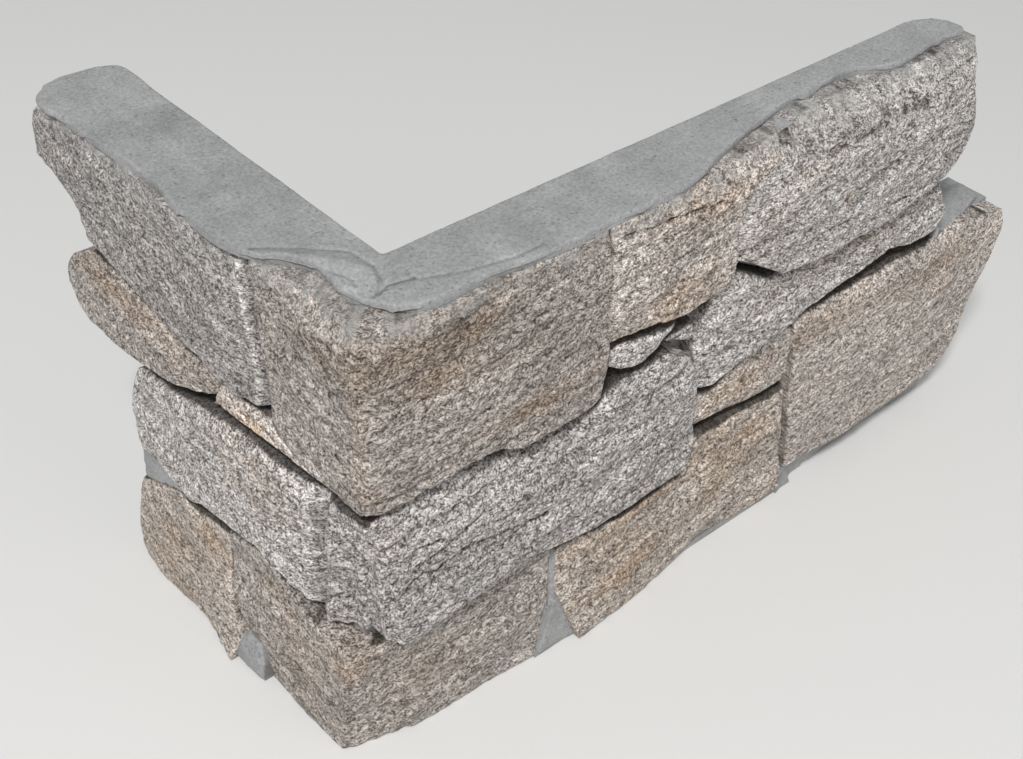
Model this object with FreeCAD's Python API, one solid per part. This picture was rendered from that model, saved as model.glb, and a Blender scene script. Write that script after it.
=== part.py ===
"""Corner piece of stone wall cladding: split stones set in one cast cement backing.

Millimetres. The wall's outside corner runs up the Z axis. The long leg covers the wall face
y = 0 from x = 0 outwards, the short leg covers the wall face x = 0 from y = 0 outwards, and the
bottom bed lies on z = 0. A depth is always a distance outwards from the wall face.
"""
import FreeCAD, Part
import math
import os

V = FreeCAD.Vector

# Courses, from the bottom bed up
LOW_COURSE = 60.0         # height of the bottom corner stone
MID_COURSE = 62.0         # height of the middle corner stone
HIGH_COURSE = 78.0        # height of the top corner stone with the cement over it
END_STEP = 100.0          # height of the stepped half of the long end

# Stone lengths along the long leg, measured from the wall's corner
TOP_CORNER_LONG = 76.0
TOP_INNER_LONG = 70.0
TOP_OUTER_LONG = 144.0
MID_CORNER_LONG = 129.0
LOW_CORNER_LONG = 57.0
LOW_INNER_LONG = 73.0
LOW_MID_LONG = 66.0
LOW_END_LONG = 150.0
END_SLANT = 29.0          # how much shorter the stepped half is at its foot

# Stone lengths along the short leg
TOP_CORNER_SHORT = 20.0
TOP_SHORT_LONG = 143.0
MID_CORNER_SHORT = 10.0   # the middle corner stone stops this far before the wall's corner
MID_SHORT_LONG = 121.0
LOW_CORNER_SHORT = 50.0
LOW_SHORT_LONG = 66.0
WEDGE_REACH = 154.0       # free end of the wedge stone under the top course

# Cement backing
LONG_PLATE = 22.0         # cement thickness on the long leg, between the stones
SHORT_PLATE = 25.0        # cement thickness on the short leg, between the stones
LONG_SEAT = 10.0          # depth of the stones' flat backs on the long leg
SHORT_SEAT = 12.0         # depth of the stones' flat backs on the short leg
LIP = 2.5                 # cement that ran over the stones' heads
TOE = 13.0                # height of the cement foot under the end stone
TOE_LONG = 25.3           # depth of that foot on the long leg
TOE_SHORT = 39.5          # depth of the mortar in the notch on the short leg
CEMENT_END = 3.0          # the cement stops this far short of the stones' ends

# Joints
JOINT = 1.4               # usual joint between two stones
GAP = 3.0                 # half height of the open bed joint under the middle corner stone
RIPPLE = 0.7              # height of the waves left by splitting

CELL = 7.5                # size of a facet on a split face
REACH = 60.0              # length of a cutter that clears every stone's face

PANEL = LOW_COURSE + MID_COURSE + HIGH_COURSE
BED_MID = LOW_COURSE
BED_TOP = LOW_COURSE + MID_COURSE
HEAD = PANEL - LIP
UNDER_LIP = HEAD - JOINT / 2
TOP_END = TOP_CORNER_LONG + TOP_INNER_LONG + TOP_OUTER_LONG
LOW_INNER_END = LOW_CORNER_LONG + LOW_INNER_LONG
LOW_MID_END = LOW_INNER_END + LOW_MID_LONG
LOW_END = LOW_MID_END + LOW_END_LONG
SHORT_TOP_END = TOP_CORNER_SHORT + TOP_SHORT_LONG
SHORT_MID_END = MID_SHORT_LONG - MID_CORNER_SHORT
SHORT_LOW_END = LOW_CORNER_SHORT + LOW_SHORT_LONG


def on_long(u, depth, z):
    """Point on the long leg: u along it from the wall's corner."""
    return V(u, -depth, z)


def on_short(u, depth, z):
    """Point on the short leg: u along it from the wall's corner."""
    return V(-depth, u, z)


def walk(points, count):
    """Split a polyline into count steps that keep its corners, the longest steps first."""
    spans = [math.hypot(b[0] - a[0], b[1] - a[1]) for a, b in zip(points, points[1:])]
    steps = [1] * len(spans)
    while sum(steps) < count:
        sizes = [span / n for span, n in zip(spans, steps)]
        steps[sizes.index(max(sizes))] += 1
    stations = [points[0]]
    for (u0, z0), (u1, z1), n in zip(points, points[1:], steps):
        stations += [(u0 + (u1 - u0) * k / n, z0 + (z1 - z0) * k / n) for k in range(1, n + 1)]
    return stations


def patch(foot, head, near, far, columns, rows):
    """Grid of (u, z) points stretched between the four edges of a stone's outline."""
    low, high = walk(foot, columns), walk(head, columns)
    left = walk([foot[0]] + near + [head[0]], rows)
    right = walk([foot[-1]] + far + [head[-1]], rows)
    grid = []
    for i in range(columns + 1):
        s = i / columns
        line = []
        for j in range(rows + 1):
            t = j / rows
            point = []
            for k in (0, 1):
                edges = (1 - t) * low[i][k] + t * high[i][k] + (1 - s) * left[j][k] + s * right[j][k]
                corners = ((1 - s) * (1 - t) * foot[0][k] + s * (1 - t) * foot[-1][k]
                           + (1 - s) * t * head[0][k] + s * t * head[-1][k])
                point.append(edges - corners)
            line.append(tuple(point))
        grid.append(line)
    return grid


def between(values, share):
    """Value at a share of the way along evenly spaced values."""
    at = share * (len(values) - 1)
    k = min(int(at), len(values) - 2)
    return values[k] + (values[k + 1] - values[k]) * (at - k)


def relief(rows, s, t):
    """Depth of a split face at (s, t): rows are (height share, depths along the stone)."""
    for (t0, low), (t1, high) in zip(rows, rows[1:]):
        if t <= t1:
            share = (t - t0) / (t1 - t0)
            return between(low, s) * (1 - share) + between(high, s) * share
    return between(rows[-1][1], s)


def ripple(u, z, phase):
    """Waves of splitting: long along the layers of the stone, short across them."""
    return RIPPLE * (math.sin(u / 17.0 + phase) * math.cos(z / 6.5 + 2.0 * phase)
                     + 0.6 * math.sin(u / 7.5 - z / 5.0 + 3.0 * phase))


def counts(foot, head, sides, height):
    """Numbers of facets along and up a stone, at least one for each drawn piece of an edge."""
    length = max(foot[-1][0] - foot[0][0], head[-1][0] - head[0][0])
    columns = max(len(foot) - 1, len(head) - 1, 3, round(length / CELL))
    return columns, max([len(side) + 1 for side in sides] + [2, round(height / CELL)])


def close(front, back, ends):
    """Solid between a front grid and its flat back; ends are the columns where the back folds."""
    columns, rows = len(front) - 1, len(front[0]) - 1
    faces = []

    def tri(a, b, c):
        if (b - a).cross(c - a).Length > 1e-6:
            faces.append(Part.Face(Part.makePolygon([a, b, c, a])))

    for i in range(columns):
        for j in range(rows):
            a, b, c, d = front[i][j], front[i + 1][j], front[i + 1][j + 1], front[i][j + 1]
            if (i + j) % 2:
                tri(a, b, c)
                tri(a, c, d)
            else:
                tri(a, b, d)
                tri(b, c, d)
        for j in (0, rows):
            tri(front[i][j], front[i + 1][j], back[i][j])
            tri(front[i + 1][j], back[i + 1][j], back[i][j])
    for i in (0, columns):
        for j in range(rows):
            tri(front[i][j], front[i][j + 1], back[i][j])
            tri(front[i][j + 1], back[i][j + 1], back[i][j])
    folds = [0] + ends + [columns]
    for first, last in zip(folds, folds[1:]):
        loop = [back[i][0] for i in range(first, last + 1)]
        loop += [back[last][j] for j in range(1, rows + 1)]
        loop += [back[i][rows] for i in range(last - 1, first - 1, -1)]
        loop += [back[first][j] for j in range(rows - 1, 0, -1)]
        faces.append(Part.Face(Part.makePolygon(loop + [loop[0]])))
    shell = Part.Shell(faces)
    shell.sewShape()
    solid = Part.Solid(shell)
    if solid.Volume < 0:
        solid.reverse()
    return solid


def inset(line, du, dz):
    """Move an edge of an outline by (du, dz)."""
    return [(u + du, z + dz) for u, z in line]


def flat_stone(place, seat, foot, head, near, far, rows, phase):
    """A stone on one leg; its outline's edges are drawn on the middle of the joints."""
    g = JOINT / 2
    foot = [(u, max(z, 0.0) + (g if z > 0 else 0.0)) for u, z in foot]
    head = [(u, z - g) for u, z in head]
    near, far = inset(near, g, 0), inset(far, -g, 0)
    for line in (foot, head):
        line[0] = (line[0][0] + g, line[0][1])
        line[-1] = (line[-1][0] - g, line[-1][1])
    height = max(z for _, z in head) - min(z for _, z in foot)
    columns, levels = counts(foot, head, (near, far), height)
    grid = patch(foot, head, near, far, columns, levels)
    front = [[place(u, relief(rows, i / columns, j / levels) + ripple(u, z, phase), z)
              for j, (u, z) in enumerate(line)] for i, line in enumerate(grid)]
    back = [[place(u, seat, z) for u, z in line] for line in grid]
    rim = [place(u, seat, z) for u, z in outline_of(grid)]
    pocket = Part.Face(Part.makePolygon(rim + [rim[0]])).extrude(place(0, REACH, 0))
    return close(front, back, []), pocket


def outline_of(grid):
    """Points round the edge of a grid."""
    columns, rows = len(grid) - 1, len(grid[0]) - 1
    foot = [grid[i][0] for i in range(columns + 1)]
    far = [grid[columns][j] for j in range(1, rows + 1)]
    head = [grid[i][rows] for i in range(columns - 1, -1, -1)]
    near = [grid[0][j] for j in range(rows - 1, 0, -1)]
    return foot + far + head + near


def corner_stone(ridge, short, long, phase):
    """A stone round the corner: ridge is (short depth, long depth, z) from foot to head, and
    short and long each hold the foot, head and end edges and the relief rows of one leg."""
    g = JOINT / 2
    height = ridge[-1][2] - ridge[0][2]
    levels = max(len(short[2]) + 1, len(long[2]) + 1, round(height / CELL))
    base, crown = ridge[0][2] + (g if ridge[0][2] > 0 else 0), ridge[-1][2] - g
    arris = []
    for j in range(levels + 1):
        t = j / levels
        arris.append((between([r[0] for r in ridge], t), between([r[1] for r in ridge], t),
                      base + (crown - base) * t))
    sides = []
    for side, mine, other in ((short, 0, 1), (long, 1, 0)):
        foot, head, end, rows = side
        foot = [(-arris[0][other], arris[0][2])] + [(u, z + (g if z > 0 else 0)) for u, z in foot]
        head = [(-arris[-1][other], arris[-1][2])] + [(u, z - g) for u, z in head]
        foot[-1] = (foot[-1][0] - g, foot[-1][1])
        head[-1] = (head[-1][0] - g, head[-1][1])
        near = [(-arris[j][other], arris[j][2]) for j in range(1, levels)]
        columns = max(len(foot) - 1, len(head) - 1, round((foot[-1][0] - foot[0][0]) / CELL))
        grid = patch(foot, head, near, inset(end, -g, 0), columns, levels)
        sides.append((grid, rows, columns))
    grid, rows, columns = sides[0]
    front, back = [], []
    for i in range(columns, 0, -1):
        s = i / columns
        front.append([on_short(u, relief(rows, s, j / levels) + min(1, 3 * s) * ripple(u, z, phase), z)
                      for j, (u, z) in enumerate(grid[i])])
        back.append([on_short(-LONG_SEAT + (u - grid[0][j][0]) * (grid[-1][j][0] + LONG_SEAT)
                              / (grid[-1][j][0] - grid[0][j][0]), SHORT_SEAT, z)
                     for j, (u, z) in enumerate(grid[i])])
    front.append([V(-a, -b, z) for a, b, z in arris])
    back.append([V(-SHORT_SEAT, -LONG_SEAT, z) for a, b, z in arris])
    fold = len(back) - 1
    grid, rows, columns = sides[1]
    for i in range(1, columns + 1):
        s = i / columns
        front.append([on_long(u, relief(rows, s, j / levels) + min(1, 3 * s) * ripple(u, z, phase), z)
                      for j, (u, z) in enumerate(grid[i])])
        back.append([on_long(-SHORT_SEAT + (u - grid[0][j][0]) * (grid[-1][j][0] + SHORT_SEAT)
                             / (grid[-1][j][0] - grid[0][j][0]), LONG_SEAT, z)
                     for j, (u, z) in enumerate(grid[i])])
    return close(front, back, [fold])


# Edges of the stones' outlines, drawn on the middle of the joints

stones, pockets = {}, []


def lay(name, leg, foot, head, near, far, rows, phase):
    """Set one flat stone on a leg and note its pocket in the cement."""
    place, seat = (on_long, LONG_SEAT) if leg == "long" else (on_short, SHORT_SEAT)
    stones[name], pocket = flat_stone(place, seat, foot, head, near, far, rows, phase)
    pockets.append(pocket)


def lay_corner(name, ridge, short, long, phase):
    """Set one corner stone and note its pocket in the cement."""
    stones[name] = corner_stone(ridge, short, long, phase)
    pockets.append(stones[name])


def top_corner():
    """Large corner stone of the top course, with a sloping head and a rounded foot at its ridge."""
    end, reach = TOP_CORNER_LONG, TOP_CORNER_SHORT
    ridge = [(31.0, 31.0, BED_TOP + 1.5), (32.5, 32.5, BED_TOP + 20), (33.5, 32.0, BED_TOP + 40),
             (33.5, 30.0, HEAD - 8), (31.0, 25.0, HEAD)]
    short = ([(-19, BED_TOP), (-1, BED_TOP + 2), (7, BED_TOP + 4), (reach, BED_TOP + 9)],
             [(0, HEAD), (reach + 9, HEAD)],
             [(reach + 1, BED_TOP + 38), (reach + 5, BED_TOP + 54), (reach + 7, BED_TOP + 66)],
             [(0.0, [31, 32, 32.5]), (0.5, [33, 33.5, 33]), (0.93, [33.5, 34, 33.5]),
              (1.0, [31, 28, 26.5, 28, 31.5])])
    long = ([(-12, BED_TOP + 1), (11, BED_TOP + 4), (24, BED_TOP + 3), (34, BED_TOP - 1),
             (48, BED_TOP - 1), (67, BED_TOP - 3), (end, BED_TOP - 1)],
            [(0, HEAD), (end - 3, HEAD)], [(end + 1, BED_TOP + 23)],
            [(0.0, [31, 34, 35, 35, 33.5]), (0.5, [33, 34.5, 35, 34.5, 33]),
             (0.93, [31, 33.5, 34, 33.5, 33]), (1.0, [25, 29.5, 30, 31.5, 31])])
    lay_corner("top_corner_stone", ridge, short, long, 0.4)


def mid_corner():
    """Corner stone of the middle course: a slanted end and a broken, sloping head."""
    end, start, above = MID_CORNER_LONG, -MID_CORNER_SHORT, TOP_CORNER_LONG
    ridge = [(20.0, 38.0, BED_MID + 2), (21.0, 37.0, BED_MID + 20), (24.0, 34.0, BED_MID + 42),
             (30.0, 27.0, BED_TOP - 1)]
    short = ([(-20, BED_MID), (start, BED_MID - 1.5)], [(start, BED_TOP - 2)], [],
             [(0.0, [20, 26, 33]), (0.7, [24, 28.5, 33]), (1.0, [30, 31, 31])])
    long = ([(-5, BED_MID + 3), (15, BED_MID + 4), (41, BED_MID + 5), (61, BED_MID + 1),
             (93, BED_MID - 2), (118, BED_MID), (end, BED_MID)],
            [(-12, BED_TOP - 1), (11, BED_TOP + 1), (24, BED_TOP), (34, BED_TOP - 4), (48, BED_TOP - 4),
             (67, BED_TOP - 6), (above + 2, BED_TOP - 3), (above + 8, BED_TOP + 3),
             (end - 17, BED_TOP + 5), (end - 3, BED_TOP - 3)],
            [(end + 2, BED_MID + 15), (end + 1, BED_MID + 34)],
            [(0.0, [38, 39, 39, 38, 37, 36]), (0.26, [37, 39.5, 39.5, 38.5, 37.5, 36.5]),
             (0.38, [36, 36.5, 36.5, 36.5, 36, 35.5]), (0.62, [34.5, 38, 38, 37, 36, 35.5]),
             (0.75, [33.5, 34, 34, 34, 34.5, 35]), (0.86, [31, 31.5, 31, 32, 34, 35]),
             (1.0, [27, 26, 25, 26, 31, 32])])
    lay_corner("mid_corner_stone", ridge, short, long, 1.3)


def low_corner():
    """Corner stone of the bottom course; its short end stops at a broken notch."""
    end, reach = LOW_CORNER_LONG, LOW_CORNER_SHORT
    ridge = [(36.5, 23.5, 0.0), (37.5, 26.0, BED_MID / 2), (37.0, 27.0, BED_MID - 3)]
    short = ([(0, 0), (reach - 22, 0)],
             [(-20, BED_MID - 3), (-6, BED_MID - 4), (11, BED_MID + 1), (19, BED_MID + 6),
              (27, BED_MID + 7), (reach - 2, BED_MID + 2)],
             [(reach - 23, 12), (reach - 12, 14), (reach - 8, 24), (reach - 4, 34), (reach - 3, 49)],
             [(0.0, [36.5, 36, 36, 36]), (0.5, [37.5, 37.5, 37, 37]), (1.0, [37, 36, 36, 36])])
    long = ([(0, 0), (end - 4, 0)],
            [(0, BED_MID - 2), (19, BED_MID - 2), (46, BED_MID), (end + 3, BED_MID - 4)],
            [(end - 1, 24), (end + 1, 50)],
            [(0.0, [23.5, 31, 33.5, 34.5]), (0.5, [26, 32, 33, 33.5]), (1.0, [27, 30, 30, 31])])
    lay_corner("low_corner_stone", ridge, short, long, 2.6)


def top_course():
    """Two stones of the top course on the long leg; their joint runs slanting over the bevel."""
    first, second, end = TOP_CORNER_LONG, TOP_CORNER_LONG + TOP_INNER_LONG, TOP_END
    shelf = BED_TOP + 22
    joint = [(second - 1, shelf + 11), (second - 4, shelf + 28), (second - 1, shelf + 41),
             (second + 6, shelf + 44.5), (second + 15, shelf + 46), (second + 22, shelf + 51)]
    lay("top_inner_stone", "long",
        [(first, shelf + 2), (first + 24, shelf + 1), (second - 29, shelf - 2), (second - 3, shelf - 1)],
        [(first - 2, HEAD), (second + 32, HEAD)], [], joint,
        [(0.0, [33, 34.5, 34, 33]), (0.5, [34, 35, 34.5, 33.5]), (0.88, [33.5, 34, 33.5, 33]),
         (1.0, [31, 30.5, 29.5, 24.5, 18, 14])], 3.1)
    lay("top_outer_stone", "long",
        [(second - 1, shelf + 9), (second + 26, shelf - 6), (second + 40, shelf - 7),
         (second + 62, shelf - 8), (second + 82, shelf - 9), (second + 96, shelf - 8),
         (end - 38, shelf - 5), (end - 22, shelf - 5), (end - 10, shelf - 3)],
        [(second + 32, HEAD), (end + 7, HEAD)], joint,
        [(end, shelf + 4), (end + 4, shelf + 10), (end + 4, shelf + 17), (end, shelf + 27),
         (end - 1, shelf + 44)],
        [(0.0, [32, 36, 37, 37, 37, 36.5, 36, 34]), (0.5, [33, 37, 38, 38, 38, 38, 36, 33]),
         (0.78, [33, 35, 36, 37, 36, 35, 34, 31]), (0.93, [30, 29, 30, 31, 28, 29, 30, 27]),
         (1.0, [14, 12.5, 11.5, 13, 19, 18.5, 18, 21])], 0.9)


def mid_course():
    """Long stone between the courses and the two chips beside it."""
    first, second, mid = TOP_CORNER_LONG, TOP_CORNER_LONG + TOP_INNER_LONG, MID_CORNER_LONG
    end, shelf = TOP_END, BED_TOP + 22
    lay("long_mid_stone", "long",
        [(mid + 3, 95), (mid + 15, 93), (mid + 27, 99), (mid + 52, 102), (mid + 66, 106),
         (end - 72, 110), (end - 40, 114), (end - 26, 111), (end - 5, 110)],
        [(mid + 1, 119), (second - 4, shelf - 2), (second - 2, shelf + 7), (second + 26, shelf - 9),
         (second + 40, shelf - 10), (second + 62, shelf - 11), (second + 82, shelf - 12),
         (end - 38, shelf - 9), (end - 22, shelf - 7), (end - 8, shelf - 6)],
        [], [(end + 1, 118)],
        [(0.0, [30, 33, 33.5, 33, 33, 32]), (0.5, [31, 33, 33, 33, 33, 32]),
         (0.9, [30, 30, 31, 31, 31, 30]), (1.0, [27, 28, 28, 28, 28, 27])], 4.4)
    lay("chip_under_top_course", "long",
        [(first + 4, BED_TOP + 10), (first + 10, BED_TOP + 7), (first + 22, BED_TOP + 5.5),
         (first + 31, BED_TOP + 9)],
        [(first + 4, BED_TOP + 19), (first + 10, shelf - 1), (first + 42, shelf - 4)],
        [], [(first + 36, BED_TOP + 14)],
        [(0.0, [29, 33, 32]), (0.5, [30, 33, 33]), (1.0, [29, 31, 31])], 1.0)
    lay("chip_over_mid_corner", "long",
        [(mid - 19, BED_TOP + 8), (mid - 11, BED_TOP + 6), (mid - 2, BED_TOP + 2)],
        [(mid - 16, BED_TOP + 12), (mid - 1, BED_TOP + 13)],
        [], [], [(0.0, [30, 31, 31]), (0.5, [30, 32, 31]), (1.0, [28, 29, 28])], 2.0)


def low_course():
    """Four stones of the stepped lower half on the long leg."""
    corner, inner, split, end = LOW_CORNER_LONG, LOW_INNER_END, LOW_MID_END, LOW_END
    mid = MID_CORNER_LONG
    lay("end_stone", "long",
        [(split + 10, 13), (split + 54, 14), (split + 94, 15), (end - END_SLANT - 6, 15),
         (end - END_SLANT, 16)],
        [(split - 2, 103), (split + 11, 104), (split + 42, 106), (split + 68, 107), (split + 89, 105),
         (end - 28, END_STEP + 3), (end - 3, END_STEP - 1)],
        [(split - 1, 69)], [(end - 24, 23), (end - 12, 60), (end - 2, 90)],
        [(0.0, [33, 34, 34, 34, 33.5]), (0.5, [34, 36, 36, 36, 34]), (0.9, [33, 35, 36, 35, 34]),
         (1.0, [28, 29, 30, 29, 31])], 5.2)
    lay("thin_stone", "long",
        [(inner + 1, 75), (inner + 32, 72), (split, 69)],
        [(inner + 1, 93), (mid + 15, 90), (mid + 27, 95), (mid + 52, 98), (split - 2, 101)],
        [], [], [(0.0, [29, 31, 30]), (0.5, [30, 32, 31]), (1.0, [27, 28, 28])], 6.1)
    lay("low_mid_stone", "long",
        [(inner - 14, 0), (inner + 20, 1), (split - 13, 1), (split + 9, 2)],
        [(inner + 1, 72), (inner + 32, 69), (split, 66)],
        [(inner, 56)], [(split + 1, 30)],
        [(0.0, [36, 33.5, 30.5, 30, 31.5, 33]), (0.5, [36, 36.5, 36, 36, 35, 34]),
         (1.0, [31, 32, 31, 30])], 7.3)
    lay("low_inner_stone", "long",
        [(corner + 15, 0), (corner + 33, 0), (inner - 16, 0)],
        [(corner + 3, BED_MID - 4), (corner + 37, BED_MID - 5), (inner - 12, BED_MID - 3),
         (inner - 1, BED_MID - 3)],
        [(corner + 2, 33)], [],
        [(0.0, [39.5, 38.8, 36.2]), (0.5, [37, 38, 37.5]), (1.0, [32, 34, 34])], 8.2)


def short_leg():
    """Five stones on the short leg."""
    start, end, low = TOP_CORNER_SHORT, SHORT_TOP_END, LOW_CORNER_SHORT
    wedge, reach = start + 33, WEDGE_REACH - start - 33
    lay("short_top_stone", "short",
        [(start, 137), (start + 19, 136), (start + 37, 142), (start + 48, 140), (start + 63, 144),
         (start + 82, 148), (end - 33, 150), (end - 29, 155.5), (end - 29, 161), (end - 24, 166),
         (end - 8, 169.5), (end + 3, 170.5)],
        [(start + 9, HEAD), (end - 6, HEAD)],
        [(start + 1, BED_TOP + 38), (start + 5, BED_TOP + 54), (start + 7, BED_TOP + 66)],
        [(end + 2, 178), (end + 0.5, 185), (end - 2, 192)],
        [(0.0, [32, 37.5, 38, 38, 37.5, 37, 36.5, 36]), (0.5, [32, 38.5, 38, 38, 38, 37.5, 37, 36]),
         (0.93, [33, 37.5, 37.5, 37.5, 37, 37, 36.5, 36]),
         (1.0, [31, 34, 36, 35, 34, 34, 34.5, 34.5])], 3.7)
    lay("short_wedge_stone", "short",
        [(wedge, 124), (wedge + 0.08 * reach, 119), (wedge + 0.34 * reach, 112),
         (wedge + 0.48 * reach, 110), (wedge + 0.7 * reach, 108.5), (wedge + 0.84 * reach, 108),
         (wedge + 0.92 * reach, 110.5), (wedge + 0.97 * reach, 115)],
        [(wedge - 1, 132), (wedge + 0.04 * reach, 139), (wedge + 0.15 * reach, 137),
         (wedge + 0.3 * reach, 141), (wedge + 0.48 * reach, 145), (wedge + 0.74 * reach, 147),
         (wedge + 0.81 * reach, 144), (wedge + 0.92 * reach, 136.5), (wedge + 0.97 * reach, 132)],
        [], [(wedge + reach, 119), (wedge + reach, 126)],
        [(0.0, [33, 36, 37, 37, 36]), (0.5, [34, 37, 37, 37, 36.5]), (1.0, [31, 33, 34, 34, 34])], 4.9)
    lay("short_sliver", "short",
        [(-1, 120.5), (15, 121.5), (30, 121.5), (wedge - 4, 120), (wedge + 4, 117)],
        [(-1, 122.8), (7, 124.8), (18, 128.8), (start + 5, 134.5), (start + 19, 133), (start + 27, 136),
         (wedge - 2, 132)],
        [], [], [(0.0, [30, 33, 33]), (1.0, [30, 31, 31])], 0.2)
    end = SHORT_MID_END
    lay("short_mid_stone", "short",
        [(start - 28, 58.5), (start - 9, 65), (start + 7, 71), (low - 1, 67), (low + 21, 61.5),
         (low + 34, 62.5), (end - 15, 63.5), (end - 2, 61)],
        [(start - 28, 119), (15, 119), (30, 118.5), (wedge - 4, 117), (wedge + 8, 115),
         (end - 24, 108.5), (end - 10, 107), (end - 1, 102)],
        [], [(end + 1, 70), (end + 2.5, 80), (end + 1.5, 88)],
        [(0.0, [32, 39, 39, 38, 37, 36]), (0.5, [32, 38, 38, 38, 37, 36]),
         (0.88, [31, 37, 37, 37, 36, 35]), (1.0, [28, 31, 32, 33, 32, 31])], 5.6)
    end = SHORT_LOW_END
    lay("short_low_stone", "short",
        [(low - 9, 0), (low + 9, 0), (low + 30, 0), (end - 16, 0), (end, 1)],
        [(low - 2, 62), (low + 21, 58), (low + 33, 59.5), (low + 41, 55.5), (low + 48, 52), (end - 5, 46)],
        [(low - 12, 14), (low - 8, 24), (low - 4, 34), (low - 3, 49)],
        [(end + 2, 12), (end, 25), (end - 2.5, 36)],
        [(0.0, [44, 41, 38.3, 39.3, 39, 38.8, 37]), (0.25, [40.5, 40, 39, 39.3, 39, 38.8, 37]),
         (0.5, [39, 39, 39, 37]), (1.0, [35, 35, 35, 35])], 6.8)


def plate(place, outline, depth):
    """Flat plate against one wall face."""
    rim = [place(u, 0, z) for u, z in outline]
    return Part.Face(Part.makePolygon(rim + [rim[0]])).extrude(place(0, depth, 0))


def lip():
    """Cement skin over the stones' heads; its outer line wanders as it was trowelled."""
    near, far = SHORT_TOP_END, TOP_END
    outer = [(-37, near - 9), (-35.5, near - 30), (-34.5, 105), (-33.5, 83), (-36, 58), (-33, 30),
             (-24, 17), (-19, 6), (-21, -8), (-17, -17), (-7, -27), (20, -28.5), (46, -31),
             (87, -30.5), (114, -30), (134, -24), (151, -19.5), (170, -15.3), (193, -12),
             (217, -11.2), (229, -13), (238, -17.5), (252, -19.3), (far - 22, -17.2),
             (far - 10, -17), (far, -19)]
    inner = [(far, -19), (far + 3.5, -16), (far + 3, -9), (far - 1, -4), (far - 9, 0), (0, 0),
             (0, near - 6), (-8, near), (-22, near + 1), (-30, near - 1), (-37, near - 9)]
    curve = Part.BSplineCurve()
    curve.interpolate([V(x, y, UNDER_LIP) for x, y in outer])
    rest = Part.makePolygon([V(x, y, UNDER_LIP) for x, y in inner])
    return Part.Face(Part.Wire([curve.toShape()] + rest.Edges)).extrude(V(0, 0, PANEL - UNDER_LIP))


def backing():
    """The one cement casting: two plates, the lip, the foot and the mortar seen in the joints."""
    foot_end, end, top = LOW_END - END_SLANT, LOW_END - CEMENT_END, TOP_END - CEMENT_END
    long_outline = [(-SHORT_PLATE, 0), (foot_end - CEMENT_END, 0), (end, END_STEP - 12), (end, END_STEP),
                    (top - 6, END_STEP), (top - 6, BED_TOP + 17), (top, BED_TOP + 26), (top, UNDER_LIP),
                    (-SHORT_PLATE, UNDER_LIP)]
    low, mid, high = SHORT_LOW_END, SHORT_MID_END, SHORT_TOP_END
    short_outline = [(-LONG_PLATE, 0), (low - 6, 0), (low - 6, 50), (mid - 4, 60), (mid - 4, 104),
                     (WEDGE_REACH - 10, 112), (WEDGE_REACH - 10, 132), (high - 33, 150), (high - 28, 168),
                     (high - 4, 172), (high - 4, UNDER_LIP), (-LONG_PLATE, UNDER_LIP)]
    body = plate(on_long, long_outline, LONG_PLATE).fuse(plate(on_short, short_outline, SHORT_PLATE))
    corner, inner, split, notch = LOW_CORNER_LONG, LOW_INNER_END, LOW_MID_END, LOW_CORNER_SHORT
    showing = [
        plate(on_long, [(inner, 0), (foot_end, 0), (foot_end + 4, TOE), (inner, TOE)], TOE_LONG),
        plate(on_long, [(inner, 0), (split + 31, 0), (split + 20, TOE), (inner, TOE)], TOE_LONG + 2.2),
        plate(on_long, [(inner, 0), (split + 18, 0), (split + 12, TOE), (inner, TOE)], TOE_LONG + 6.2),
        plate(on_long, [(corner - 6, 0), (corner + 17, 0), (corner + 11, 26), (corner - 2, 26)],
              TOE_LONG + 9.7),
        plate(on_long, [(corner - 2, 26), (corner + 11, 26), (corner + 4, 53), (corner, 53)],
              TOE_LONG + 5.7),
        plate(on_short, [(notch - 25, 0), (notch - 7, 0), (notch - 11, 15), (notch - 24, 13)], TOE_SHORT),
        plate(on_short, [(low - 36, 59), (low - 5, 44), (mid - 1, 62), (mid - 16, 65)], TOE_SHORT - 5),
    ]
    body = body.multiFuse(showing)
    bed = Part.makeBox(SHORT_PLATE + GAP - SHORT_SEAT, LONG_PLATE + GAP - LONG_SEAT, 2 * GAP,
                       V(-SHORT_PLATE - GAP, -LONG_PLATE - GAP, BED_MID - GAP - JOINT))
    for pocket in pockets + [bed]:
        body = body.cut(pocket)
    return body.fuse(lip()).removeSplitter()


top_corner()
mid_corner()
low_corner()
top_course()
mid_course()
low_course()
short_leg()
stones["cement_backing"] = backing()

os.makedirs("parts", exist_ok=True)
for name, shape in stones.items():
    solids = shape.Solids
    print(name, "solids", len(solids), "valid", shape.isValid(), "cm3", round(shape.Volume / 1000, 2),
          "faces", len(shape.Faces))
    (solids[0] if len(solids) == 1 else shape).exportStep(f"parts/{name}.step")
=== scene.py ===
# %% [markdown]
# # Corner piece of stone wall cladding
# The real piece is a set of split gneiss stones on one cast cement backing. The stones are broken
# with a hammer, laid side by side and backed with cement in a mould, so the back is flat and the
# faces are as the hammer left them. The solids of the model already have every stone in its place.
# This lesson gives the stones their faces: each becomes a fine surface with the layers, chips and
# grain of split gneiss, and the cement gets its trowelled top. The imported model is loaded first,
# and nothing in it is moved.

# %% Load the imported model
import bpy
import numpy as np
from mathutils import Matrix


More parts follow.
